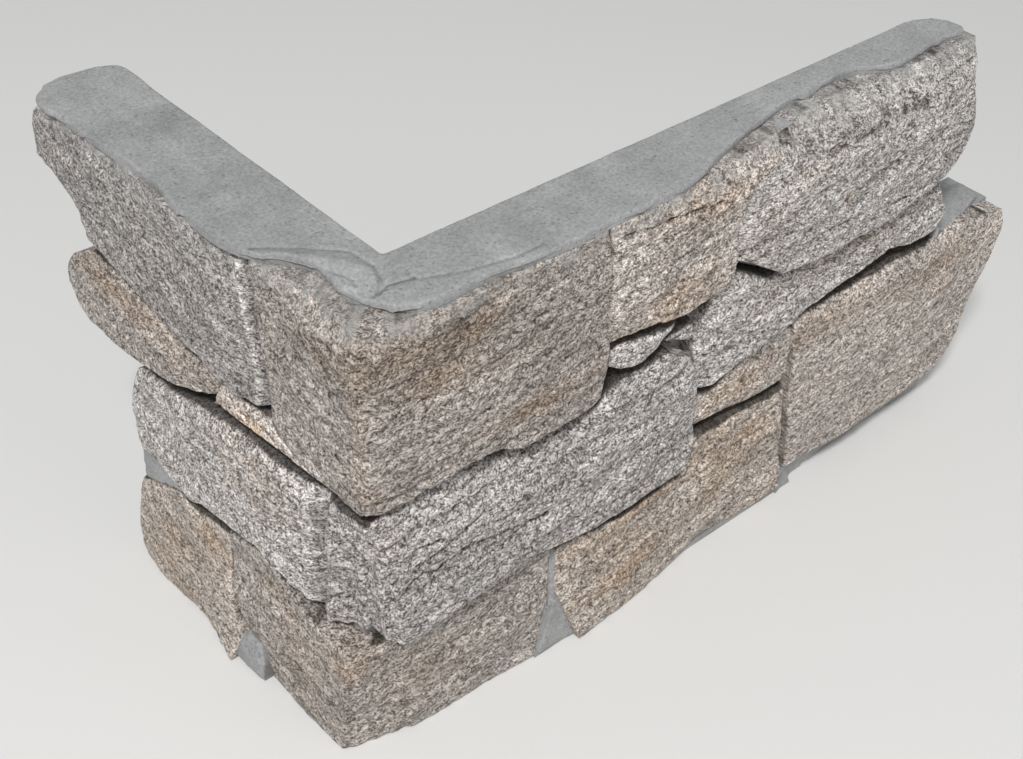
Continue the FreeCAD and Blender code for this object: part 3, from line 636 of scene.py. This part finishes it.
cube = np.array([(x, y, z) for x in (0, 2) for y in (0, 2) for z in (0, 2)], float)
sides = np.array([(0, 1, 3, 2), (4, 6, 7, 5), (0, 4, 5, 1), (2, 3, 7, 6), (0, 2, 6, 4), (1, 5, 7, 3)])
print("a cube of 2 mm holds", round(volume(cube, sides), 3), "cubic mm")

# %% Close a grid with walls and caps
def closed_mesh(name, grid, rings, caps, values):
    """A mesh of the front grid, ring walls and flat caps. Faces are quads between neighbouring
    rows, and the winding is turned if the volume inside comes out negative. The values of the rim
    run on over the walls."""
    columns, rows = grid.shape[:2]
    number = np.arange(columns * rows).reshape(columns, rows)
    corners = [number[:-1, :-1], number[1:, :-1], number[1:, 1:], number[:-1, 1:]]
    quads = [np.stack(corners, axis=-1).reshape(-1, 4)]
    edge = rim(number)
    first = columns * rows
    for ring in rings:
        next_edge = first + np.arange(len(ring))
        first += len(ring)
        quads.append(np.stack([edge, next_edge, np.roll(next_edge, -1), np.roll(edge, -1)], axis=-1))
        edge = next_edge
    places = np.concatenate([grid.reshape(-1, 3)] + rings)
    quads = np.concatenate(quads)
    faces = [edge[cap] for cap in caps]
    if volume(places, quads) < 0:
        quads = quads[:, ::-1]
        faces = [face[::-1] for face in faces]
    numbers = {title: np.concatenate([grid_numbers.ravel()] + [rim(grid_numbers)] * len(rings))
               for title, grid_numbers in values.items()}
    return put_mesh(name, places, quads, faces, numbers)


cell = 0.64
print("points lie", cell, "mm apart")

# %% A stone on one leg
def show(piece):
    """Let a finished piece ride on the part."""
    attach(piece, "root")
    return piece


def on_leg(leg, along, height, depth):
    """Points (x, y, z) from lengths on a leg's wall face: the long leg runs along x and its depth
    along -y, the short leg runs along y and its depth along -x."""
    parts = (along, -depth, height) if leg == "long" else (-depth, along, height)
    return np.stack(parts, axis=-1)


def flat_stone(name):
    """One split stone of a leg: its fine face, walls and back."""
    leg, slot, seed = breaks[name][:3]
    known, triangles = coarse_front(name, leg)
    grid = coons(*four_sides(known[outline(triangles)][:, :2]), cell)
    used = known[np.unique(triangles)]
    coarse = blend(grid, used[:, :2], used[:, 2])
    grid = settle(grid, name)
    u, z = grid[..., 0], grid[..., 1]
    broken = broken_face(name, grid)
    seat = seat_long if leg == "long" else seat_short
    front, back = on_leg(leg, u, z, coarse + broken), on_leg(leg, u, z, np.full(u.shape, seat))
    rings = walls(rim(front), rim(back), seed)
    values = point_values(name, grid, broken)
    piece = closed_mesh(name + "_split", front, rings, [np.arange(len(rings[-1]))], values)
    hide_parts(name)
    return show(piece)


flat_stones = {name: flat_stone(name) for name, row in breaks.items() if row[0] != "corner"}
print("flat stones", {name: len(piece.data.polygons) for name, piece in flat_stones.items()})

# %% Ridge and back of a corner stone
# ridge of each corner stone from foot to head: depth on the short leg, depth on the long leg
ridges = {
    "top_corner_stone": [(31.0, 31.0), (32.5, 32.5), (33.5, 32.0), (33.5, 30.0), (31.0, 25.0)],
    "mid_corner_stone": [(20.0, 38.0), (21.0, 37.0), (24.0, 34.0), (30.0, 27.0)],
    "low_corner_stone": [(36.5, 23.5), (37.5, 26.0), (37.0, 27.0)],
}
# heights of its foot and head, and how far the foot is lowered at the ridge
ridge_span = {"top_corner_stone": (124.2, 196.8), "mid_corner_stone": (62.7, 120.3),
              "low_corner_stone": (0.0, 56.3)}
foot_drop = {"top_corner_stone": 3.5, "mid_corner_stone": 4.0, "low_corner_stone": 0.0}


def corner_seat(front, off):
    """The back of a corner stone: each face is pressed straight back to its seat, and shortened
    evenly so that both backs meet on the line where the two seats cross."""
    x, y, z = np.moveaxis(front, -1, 0)
    column = np.argmin(abs(off), axis=0)
    rows = np.arange(front.shape[1])
    ridge_x, ridge_y = x[column, rows], y[column, rows]
    short_end, long_end = y[0], x[-1]
    back_y = -seat_long + (y - ridge_y) * (short_end + seat_long) / (short_end - ridge_y)
    back_x = -seat_short + (x - ridge_x) * (long_end + seat_short) / (long_end - ridge_x)
    on_short = off < 0
    return np.stack([np.where(on_short, -seat_short, np.maximum(back_x, -seat_short)),
                     np.where(on_short, np.maximum(back_y, -seat_long), -seat_long), z], axis=-1)


print("ridges", {name: round(head - foot, 1) for name, (foot, head) in ridge_span.items()}, "mm high")

# %% A stone round the corner
def corner_stone(name):
    """One stone round the corner. Unfolded, x - y is the length along and x + y is minus the
    depth; the depth plus the distance from the ridge changes smoothly over the ridge, so that sum
    is blended, and the distance is taken off again with its tip rounded to a small radius."""
    leg, slot, seed = breaks[name][:3]
    known, triangles = coarse_front(name, leg)
    grid = coons(*four_sides(known[outline(triangles)][:, :2]), cell)
    used = known[np.unique(triangles)]
    stations = np.array(ridges[name])
    heights = np.linspace(*ridge_span[name], len(stations))

    def from_ridge(u, z):
        """Length along from the ridge, which lies at its long depth less its short depth."""
        short_depth, long_depth = (np.interp(z, heights, depths) for depths in stations.T)
        return u - (long_depth - short_depth)

    total = blend(grid, used[:, :2], used[:, 2] + abs(from_ridge(used[:, 0], used[:, 1])))
    grid = settle(grid, name)
    share = np.linspace(0, 1, grid.shape[1])[None, :]
    near_ridge = np.exp(-(from_ridge(grid[..., 0], grid[..., 1]) / 16) ** 2)
    grid[..., 1] -= foot_drop[name] * near_ridge * np.clip(1 - 3 * share, 0, 1)
    u, z = grid[..., 0], grid[..., 1]
    wobble = 0.7 * rough(z, z * 0, 9.0, 9.0, seed + 4, 3)
    off = from_ridge(u, z) + wobble
    tip = 1.0 + 0.8 * hills(z, z * 0, 8.0, 8.0, seed + 6)
    if name == "top_corner_stone":
        # the foot of this ridge is worn round over its lowest 10 mm
        tip = tip + 7.0 * np.clip(1 - (z - grid[:, :1, 1]) / 10, 0, 1) ** 2
    bend = np.sqrt(off ** 2 + tip ** 2)
    broken = broken_face(name, grid)
    deep = total - bend + 2 * broken
    front = np.stack([(u - deep) / 2, -(u + deep) / 2, z], axis=-1)
    rings = walls(rim(front), rim(corner_seat(front, off)), seed)
    values = point_values(name, grid, broken)
    # the back folds where the rim crosses the ridge, at a and b, so it has two flat caps
    fold = np.flatnonzero(np.diff(np.sign(rim(off) + 1e-6)) != 0)
    a, b = fold[0] + 1, fold[-1] + 1
    count = len(rings[-1])
    caps = [np.arange(a, b + 1), np.concatenate([np.arange(b, count), np.arange(0, a + 1)])]
    for k in (a, b):
        rings[-1][k] = (-seat_short, -seat_long, rings[-1][k][2])
    piece = closed_mesh(name + "_split", front, rings, caps, values)
    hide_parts(name)
    return show(piece)


corner_stones = {name: corner_stone(name) for name in ridges}
print("corner stones", {name: len(piece.data.polygons) for name, piece in corner_stones.items()})

# %% [markdown]
# ## The trowelled cement
# The cement backing is one casting. Its top was struck off with a trowel, which left a thin skin
# that runs a little over the heads of the stones, with a ragged edge, shallow smears and a few
# pits. The casting's solid stays as it is, and the skin is laid on it as a sheet between two
# rails: the line where the cement ends on the stones, and the line of the wall.

# %% Rails of the skin
# (x, y) in mm: where the cement ends on the stones, and where the wall begins
outer_rail = np.array([(-29, 161.5), (-37, 153.5), (-35.5, 133), (-34.5, 105), (-33.5, 83), (-36, 58),
                       (-33, 30), (-24, 17), (-19, 6), (-21, -8), (-17, -17), (-7, -27), (20, -28.5),
                       (46, -31), (87, -30.5), (114, -30), (134, -24), (151, -19.5), (170, -15.3),
                       (193, -12), (217, -11.2), (229, -13), (238, -17.5), (252, -19.3), (268, -17.2),
                       (280, -17), (290, -18.8), (293.3, -15.5)])
inner_rail = np.array([(-8, 162.5), (0, 156.5), (0, 133), (0, 105), (0, 83), (0, 58), (0, 34),
                       (0, 21), (0, 12), (0, 5), (0, 1), (3, 0), (20, 0), (46, 0),
                       (87, 0), (114, 0), (134, 0), (151, 0), (170, 0), (193, 0),
                       (217, 0), (229, 0), (238, 0), (252, 0), (268, 0), (277, 0),
                       (284, -2.5), (289.5, -4.5)])


def rail(stations, share):
    """Points at shares 0 to 1 along the stations, rounded by a cubic between them: with stations
    a, b, c and d in turn and t from b to c, half of 2b + (c - a) t + (2a - 5b + 4c - d) t^2
    + (3b - a - 3c + d) t^3."""
    k = share * (len(stations) - 1)
    i = np.clip(np.floor(k).astype(int), 0, len(stations) - 2)
    t = (k - i)[:, None]
    wide = np.concatenate([[2 * stations[0] - stations[1]], stations, [2 * stations[-1] - stations[-2]]])
    a, b, c, d = wide[i], wide[i + 1], wide[i + 2], wide[i + 3]
    slope, curve, twist = c - a, 2 * a - 5 * b + 4 * c - d, 3 * b - a - 3 * c + d
    return 0.5 * (2 * b + slope * t + curve * t ** 2 + twist * t ** 3)


def even_shares(stations, step):
    """Shares along the stations whose points lie about step millimetres apart."""
    share = np.linspace(0, 1, 4000)
    run = np.concatenate([[0], np.cumsum(np.hypot(*np.diff(rail(stations, share), axis=0).T))])
    return np.interp(np.linspace(0, run[-1], int(run[-1] / step)), run, share)


print("the skin's outer edge is about", 10 * len(even_shares(outer_rail, 10.0)), "mm long")

# %% Smears of the trowel
# width and height in mm, below zero for a scratch, then (x, y) points
smears = [(3.0, 1.3, [(-27, 20), (-19, 12), (-13, 4), (-10, -4), (-11, -9)]),
          (1.2, 0.5, [(-11, -9), (-14, -11), (-18, -10), (-20, -6)]),
          (0.9, -1.1, [(-31, 29), (-24, 24), (-18, 19), (-7, 8), (-6, -4), (-9, -11), (-16, -16)]),
          (0.8, -0.7, [(-23, 10), (-19, 3), (-16, -3), (-17, -8)]),
          (0.9, -1.6, [(-14, -16), (-9, -14), (-4, -15), (0, -16)]),
          (0.8, -0.8, [(0, -16), (3, -18), (16, -23), (29, -26), (35, -27), (46, -27)]),
          (0.8, -0.6, [(111, -10), (112.5, -12), (114, -11)]),
          (0.9, -0.6, [(250, -10), (250.5, -10.5)]),
          (2.5, 0.35, [(-20, 60), (-14, 100), (-18, 140)]),
          (2.0, -0.3, [(60, -8), (120, -12), (180, -6)])]
casting_top = 200.0


def trowelled(sheet):
    """Height of the top as the trowel left it: 0.35 mm over the casting plus wide and fine hills,
    plus each smear's height times exp(-(distance / width)^2) from its line, less the pits, which
    open where small hills pass 1.02."""
    x, y = sheet[..., 0], sheet[..., 1]
    wide_hills, fine_hills = rough(x, y, 26.0, 26.0, 223, 5), rough(x, y, 2.0, 2.0, 229, 2)
    height = casting_top + 0.35 + 0.22 * wide_hills + 0.05 * fine_hills
    for width, high, line in smears:
        height += high * np.exp(-(edge_distance(sheet, spread(np.array(line, float), 60)) / width) ** 2)
    return height - 2.2 * np.clip(rough(x, y, 2.6, 2.6, 233, 2) - 1.02, 0, 1)


print("smears and scratches", len(smears))

# %% The skin
# the width of the sheet in mm, and the rows of its apron: shares of the ragged width outwards from
# the outer rail, and drops in mm
sheet_wide = 34
apron_rows = ((1.0, 2.4), (0.85, 1.1), (0.5, 0.45), (0.2, 0.12))


def cement_skin():
    """The sheet between the rails, at least 0.05 mm over the casting, with an apron that drops
    over the heads of the stones and a hem that closes it against the wall line."""
    share = even_shares(outer_rail, 1.3 * cell)
    outer, inner = rail(outer_rail, share), rail(inner_rail, share)
    out = outer - inner
    out /= np.linalg.norm(out, axis=1)[:, None]
    ragged = 0.55 + 0.5 * rough(outer[:, 0], outer[:, 1], 11.0, 11.0, 211, 5)
    across = np.linspace(0, 1, int(sheet_wide / cell))[None, :, None]
    sheet = outer[:, None] * (1 - across) + inner[:, None] * across
    struck = trowelled(sheet)
    height = np.maximum(struck, casting_top + 0.05)
    apron = []
    for away, drop in apron_rows:
        line = outer + out * (away * np.clip(ragged, 0.1, 1.6))[:, None]
        apron.append(np.column_stack([line, height[:, 0] - drop * np.clip(ragged, 0.5, 1.6)]))
    wall = inner - 0.06 * out
    hem = [np.column_stack([wall, height[:, -1] - 0.1]),
           np.column_stack([wall, np.full(len(wall), casting_top - 0.6)])]
    grid = np.concatenate([np.stack(apron, axis=1), lifted(sheet, height), np.stack(hem, axis=1)], axis=1)
    grid[[0, -1], :, 2] -= 1.2
    under = grid.copy()
    under[..., 2] = np.minimum(grid[..., 2] - 0.3, casting_top - 0.8)
    hollow = np.zeros(grid.shape[:2])
    hollow[:, len(apron):-len(hem)] = smoothed(struck, 10) - struck
    rings = [rim(under)]
    return closed_mesh("cement_skin", grid, rings, [np.arange(len(rings[0]))], {"hollow": hollow})


skin = show(cement_skin())
print("skin", len(skin.data.polygons), "faces")

# %% [markdown]
# ## Mortar between the stones
# Where two stones leave a wide joint, cement was pressed in and wiped off with a finger. Such a
# patch is a small pillow: nearly flat in the middle, it dips along its rim, where it sticks to the
# stones. It could be sculpted; here each patch is a Coons patch like a stone's face, with a smooth
# depth of its own, and its rim is tucked a little under the arrises beside it.

# %% Mortar patches
# leg, foot, head, near and far edges as (along, height), then depths at foot, middle and head
mortar = {
    "mortar_corner_joint": ("long", [(51.5, 0), (76, 0)], [(58.5, 54), (61.5, 54)],
                            [(51.5, 0), (56.5, 26), (58.5, 54)], [(76, 0), (68, 24), (61.5, 54)],
                            (35.9, 35.4, 32.4)),
    "mortar_notch": ("short", [(24, 0), (43, 0)], [(28, 17), (36, 18)],
                     [(24, 0), (23.5, 10), (28, 17)], [(43, 0), (41, 10), (36, 18)],
                     (40.9, 40.8, 38.8)),
    "mortar_short_end": ("short", [(79, 58), (110.5, 43.5)], [(92, 65.5), (110.5, 62.5)],
                         [(79, 58), (92, 65.5)], [(110.5, 43.5), (110.5, 62.5)],
                         (35.0, 36.0, 35.2)),
    "mortar_toe": ("long", [(203, 0), (317, 0)], [(203, 13.5), (321, 13.5)],
                   [(203, 0), (203, 13.5)], [(317, 0), (321, 13.5)],
                   (0.0, 0.3, 0.6)),
}
# lengths along and depths of the line that the toe follows under the end stone
toe_line = ([203, 216, 230, 260, 317], [32.9, 28.9, 26.9, 26.2, 25.9])
patch_cell = 0.9


def mortar_patch(name):
    """A pillow of mortar: its depth runs through the three given depths up its height, plus small
    hills, less a dip times (1 - distance from the rim / 2.5 mm) squared. The toe's depths are
    added to its line, and its dip is small."""
    leg, *edges, depths = mortar[name]
    grid = coons(*(np.array(line, float) for line in edges), patch_cell)
    u, z = grid[..., 0], grid[..., 1]
    share = (z - z.min()) / np.ptp(z)
    deep = np.interp(share, (0, 0.5, 1), depths) + 0.5 * rough(u, z, 9.0, 7.0, 307, 4)
    dip = 1.6
    if name == "mortar_toe":
        deep += np.interp(u, *toe_line)
        dip = 0.4
    deep -= dip * np.clip(1 - edge_distance(grid, rim(grid)) / 2.5, 0, 1) ** 2
    front, back = on_leg(leg, u, z, deep), on_leg(leg, u, z, np.full(deep.shape, deep.min() - 4))
    rings = [rim(0.5 * front + 0.5 * back), rim(back)]
    values = {"hollow": smoothed(deep, 8) - deep}
    return show(closed_mesh(name, front, rings, [np.arange(len(rings[-1]))], values))


patches = [mortar_patch(name) for name in mortar]
print("mortar", {piece.name: len(piece.data.polygons) for piece in patches})

# %% Mortar ledge
# foot, head, near and far edges as (x, y), and the heights of the ledge and of its flat back
ledge_edges = ([(290, -31), (300, -29), (320, -25), (338, -20)], [(286, -0.5), (341, -0.5)],
               [(290, -31), (286, -0.5)], [(338, -20), (341, -8), (341, -0.5)])
ledge_top, ledge_back = 100.5, 99.0


def mortar_ledge():
    """The smooth ledge on the long end: level near the wall, it rises 2.3 mm over the head of the
    end stone by the curve 3t^2 - 2t^3, climbs by 6 mm in a hollow curve against the end of the
    stone above, and dips by 1 mm along its rim."""
    grid = coons(*(np.array(line, float) for line in ledge_edges), patch_cell)
    x, y = grid[..., 0], grid[..., 1]
    t = np.clip((-y - 5) / 6, 0, 1)
    height = ledge_top + 2.3 * t ** 2 * (3 - 2 * t) + 6.0 * np.exp(-np.maximum(x - 291, 0) / 4.5)
    height += 0.3 * rough(x, y, 14.0, 14.0, 311, 4)
    height -= 1.0 * np.clip(1 - edge_distance(grid, rim(grid)) / 1.6, 0, 1) ** 2
    back = rim(lifted(grid, ledge_back))
    values = {"hollow": smoothed(height, 8) - height}
    piece = closed_mesh("mortar_ledge", lifted(grid, height), [back], [np.arange(len(back))], values)
    return show(piece)


patches.append(mortar_ledge())
print("ledge", len(patches[-1].data.polygons), "faces")

# %% [markdown]
# ## Gneiss
# Split gneiss is matt: white and grey feldspar, glassy quartz and flakes of black mica a
# millimetre or two across, drawn out along the layers of the rock, with rust and ochre where water
# stood in it. A picture could be wrapped round it, but noise worked out at the real grain size
# has no seams and keeps its scale on every stone. The hollows that the shape already knows are
# darkened with painted shade, and its crests are painted paler, partly as bruised stone is and
# partly as a painted highlight.

# %% Grain of split gneiss
# noise cells per metre, so 1000 divided by one is its size in mm: crystals are drawn at 0.6 mm and
# mica at 0.8 mm, the smallest that shows in the picture, clumps at 1.8, bands at 6, stains at 24
crystals, flakes_of_mica, clumps, bands, stains = 1750.0, 1250.0, 560.0, 170.0, 42.0


def gneiss_grain(tree, seed):
    """The noises of gneiss on the piece's own place: the grain is drawn out 2 to 1 along the
    layers, bands and stains 6 to 1. The layers rise away from the corner on both legs, 1 in 6 on
    the long one and 1 in 4 on the short one."""
    place = node(tree, "ShaderNodeTexCoord").outputs["Object"]
    bedded = node(tree, "ShaderNodeMapping", [("Vector", place)], Rotation=(-0.24, 0.16, 0.0),
                  Location=(seed * 0.37, seed * 0.11, seed * 0.23)).outputs["Vector"]
    grainy = node(tree, "ShaderNodeMapping", [("Vector", bedded)], Scale=(0.6, 0.6, 1.2)).outputs["Vector"]
    banded = node(tree, "ShaderNodeMapping", [("Vector", bedded)], Scale=(0.22, 0.22, 1.3)).outputs["Vector"]
    kinds = {"crystal": (grainy, crystals, 3.0, 0.75), "clump": (grainy, clumps, 4.0, 0.7),
             "band": (banded, bands, 5.0, 0.62), "mica": (grainy, flakes_of_mica, 2.0, 0.6),
             "stain": (banded, stains, 4.0, 0.6)}
    return {title: node(tree, "ShaderNodeTexNoise", [("Vector", vector)], Scale=scale, Detail=detail,
                        Roughness=roughness).outputs["Fac"]
            for title, (vector, scale, detail, roughness) in kinds.items()}


print("crystals", round(1000 / crystals, 2), "mm, stains", round(1000 / stains, 1), "mm")

# %% Wear and painted light of split gneiss
def dust_and_painted_light(tree, colour):
    """The stone's colour with its dust of cement and with painted light: crests painted pale,
    partly bruised stone and partly a painted highlight, and hollows and the joints under other
    stones darkened with painted shade, each mixed in by the numbers on the points."""
    hollow = node(tree, "ShaderNodeAttribute", attribute_name="hollow").outputs["Fac"]
    dust = node(tree, "ShaderNodeAttribute", attribute_name="dusted").outputs["Fac"]
    thin_dust = node(tree, "ShaderNodeMath", [(0, dust)], operation="MULTIPLY")
    thin_dust.inputs[1].default_value = 0.7
    dusted = node(tree, "ShaderNodeMix", [(0, thin_dust.outputs[0]), (6, colour)], data_type="RGBA")
    dusted.inputs[7].default_value = linear("#a09f9c")
    # crests painted pale: partly bruised stone, partly a painted highlight
    crest = node(tree, "ShaderNodeMapRange", [("Value", hollow)], From_Min=-0.7, From_Max=-0.1,
                 To_Min=0.30, To_Max=0.0)
    bruised_and_lit = node(tree, "ShaderNodeMix", [(0, crest.outputs["Result"]), (6, dusted.outputs[2])],
                   data_type="RGBA")
    bruised_and_lit.inputs[7].default_value = linear("#cfc8c0")
    # hollows and the joints under other stones darkened towards near black: painted shade
    shade = node(tree, "ShaderNodeMapRange", [("Value", hollow)], From_Min=0.15, From_Max=0.9,
                 To_Min=0.0, To_Max=0.85)
    shaded = node(tree, "ShaderNodeMix", [(0, shade.outputs["Result"]), (6, bruised_and_lit.outputs[2])],
                  data_type="RGBA")
    shaded.inputs[7].default_value = linear("#2b2622")
    return shaded.outputs[2]


numbers = [layer.name for layer in corner_stones["top_corner_stone"].data.attributes
           if layer.data_type == "FLOAT"]
print("numbers on the points of a stone", numbers)

# %% Material of split gneiss
def gneiss(name, pale, main, dark, stain, stain_share, flakes, seed):
    """Split gneiss. pale, main and dark are its feldspar, its usual tone and its mica, stain is
    the rust in it, stain_share how much of the stone it covers and flakes how much mica shows."""
    material, tree, shader = finish_material(name)
    noise = gneiss_grain(tree, seed)

    mixed = node(tree, "ShaderNodeMix", [(2, noise["crystal"]), (3, noise["clump"])], data_type="FLOAT")
    mixed.inputs[0].default_value = 0.38
    tone = node(tree, "ShaderNodeValToRGB", [("Fac", mixed.outputs[0])])
    stops = tone.color_ramp.elements
    stops[0].position, stops[0].color = 0.435, linear(dark)
    stops[1].position, stops[1].color = 0.565, linear(pale)
    stops.new(0.49).color = linear(main)

    soft = node(tree, "ShaderNodeMapRange", [("Value", noise["band"])], From_Min=0.32, From_Max=0.68,
                To_Min=0.70, To_Max=1.28)
    # the tone on the points, which also holds the painted shade of the chamfer faces
    own = node(tree, "ShaderNodeAttribute", attribute_name="tone").outputs["Fac"]
    both = node(tree, "ShaderNodeMath", [(0, soft.outputs["Result"]), (1, own)], operation="MULTIPLY")
    cloudy = node(tree, "ShaderNodeVectorMath", [(0, tone.outputs["Color"])], operation="SCALE")
    tree.links.new(cloudy.inputs["Scale"], both.outputs[0])

    rust = node(tree, "ShaderNodeMapRange", [("Value", noise["stain"])], From_Min=0.60 - stain_share,
                From_Max=0.80 - stain_share, To_Min=0.0, To_Max=0.55)
    drawn_rust = node(tree, "ShaderNodeAttribute", attribute_name="rust").outputs["Fac"]
    rusty = node(tree, "ShaderNodeMath", [(0, rust.outputs["Result"]), (1, drawn_rust)], operation="ADD",
                 use_clamp=True)
    stained = node(tree, "ShaderNodeMix", [(0, rusty.outputs[0]), (6, cloudy.outputs["Vector"])],
                   data_type="RGBA", blend_type="MULTIPLY")
    stained.inputs[7].default_value = linear(stain)

    flake = node(tree, "ShaderNodeMapRange", [("Value", noise["mica"])], From_Min=0.62 - flakes,
                 From_Max=0.66 - flakes, To_Min=0.0, To_Max=0.75)
    specked = node(tree, "ShaderNodeMix", [(0, flake.outputs["Result"]), (6, stained.outputs[2])],
                   data_type="RGBA")
    specked.inputs[7].default_value = linear("#3d3835")
    tree.links.new(shader.inputs["Base Color"], dust_and_painted_light(tree, specked.outputs[2]))

    bump = node(tree, "ShaderNodeBump", [("Height", mixed.outputs[0])], Strength=0.7, Distance=0.0005)
    tree.links.new(shader.inputs["Normal"], bump.outputs["Normal"])
    shader.inputs["Roughness"].default_value = 0.85
    shader.inputs["Specular IOR Level"].default_value = 0.35
    return material


finishes = {
    "beige_gneiss": gneiss("beige split gneiss", "#ece5de", "#a3988f", "#574e48", "#dcb788", 0.02, 0.00, 1),
    "grey_gneiss": gneiss("grey split gneiss", "#f0ece9", "#a8a19c", "#524c4a", "#dcc8b0", 0.00, 0.02, 2),
    "brown_gneiss": gneiss("brown split gneiss", "#eee6dd", "#ab9f94", "#594d45", "#dabd9a", 0.10, 0.00, 3),
}
for name, piece in {**flat_stones, **corner_stones}.items():
    piece.data.materials.append(finishes[breaks[name][slot_at]])
print("stone finishes", [m.name for m in finishes.values()])

# %% [markdown]
# ## Cement
# Cast cement dries to a cool grey with cloudy patches, fine sand, and small pits where air
# bubbles broke, drawn as dark specks of painted shade. Only the hollows of the skin need geometry; the sand
# is too fine and is bump.

# %% Material of cast cement
# cells per metre: clouds of 26 mm, sand of 1.1 mm, the smallest that shows, and pits 3 mm apart
clouds, sand_grains, pits = 38.0, 900.0, 330.0
cement, tree, shader = finish_material("cast grey cement")
place = node(tree, "ShaderNodeTexCoord").outputs["Object"]
cloud = node(tree, "ShaderNodeTexNoise", [("Vector", place)], Scale=clouds, Detail=6.0, Roughness=0.62)
sand = node(tree, "ShaderNodeTexNoise", [("Vector", place)], Scale=sand_grains, Detail=2.0, Roughness=0.6)
pit = node(tree, "ShaderNodeTexVoronoi", [("Vector", place)], Scale=pits)
hollow = node(tree, "ShaderNodeAttribute", attribute_name="hollow").outputs["Fac"]
tone = node(tree, "ShaderNodeValToRGB", [("Fac", cloud.outputs["Fac"])])
stops = tone.color_ramp.elements
stops[0].position, stops[0].color = 0.30, linear("#909190")
stops[1].position, stops[1].color = 0.70, linear("#aeaeae")
grain = node(tree, "ShaderNodeMapRange", [("Value", sand.outputs["Fac"])], From_Min=0.25, From_Max=0.75,
             To_Min=0.74, To_Max=1.22)
sanded = node(tree, "ShaderNodeVectorMath", [(0, tone.outputs["Color"]), ("Scale", grain.outputs["Result"])],
              operation="SCALE")
# dark specks of painted shade for the pits
speck = node(tree, "ShaderNodeMapRange", [("Value", pit.outputs["Distance"])], From_Min=0.10, From_Max=0.20,
             To_Min=0.55, To_Max=0.0)
pitted = node(tree, "ShaderNodeMix", [(0, speck.outputs["Result"]), (6, sanded.outputs["Vector"])],
              data_type="RGBA")
pitted.inputs[7].default_value = linear("#6a6a6a")
shade = node(tree, "ShaderNodeMapRange", [("Value", hollow)], From_Min=0.05, From_Max=0.6,
             To_Min=0.0, To_Max=0.6)
shaded = node(tree, "ShaderNodeMix", [(0, shade.outputs["Result"]), (6, pitted.outputs[2])], data_type="RGBA")
shaded.inputs[7].default_value = linear("#55544f")
tree.links.new(shader.inputs["Base Color"], shaded.outputs[2])
bump = node(tree, "ShaderNodeBump", [("Height", sand.outputs["Fac"])], Strength=0.25, Distance=0.0004)
tree.links.new(shader.inputs["Normal"], bump.outputs["Normal"])
shader.inputs["Roughness"].default_value = 0.9
shader.inputs["Specular IOR Level"].default_value = 0.3

for piece in [skin] + patches:
    piece.data.materials.append(cement)
backing = nodes["cement_backing"]
backing.data.materials.clear()
backing.data.materials.append(cement)
print("cement on", skin.name, "and", backing.name)
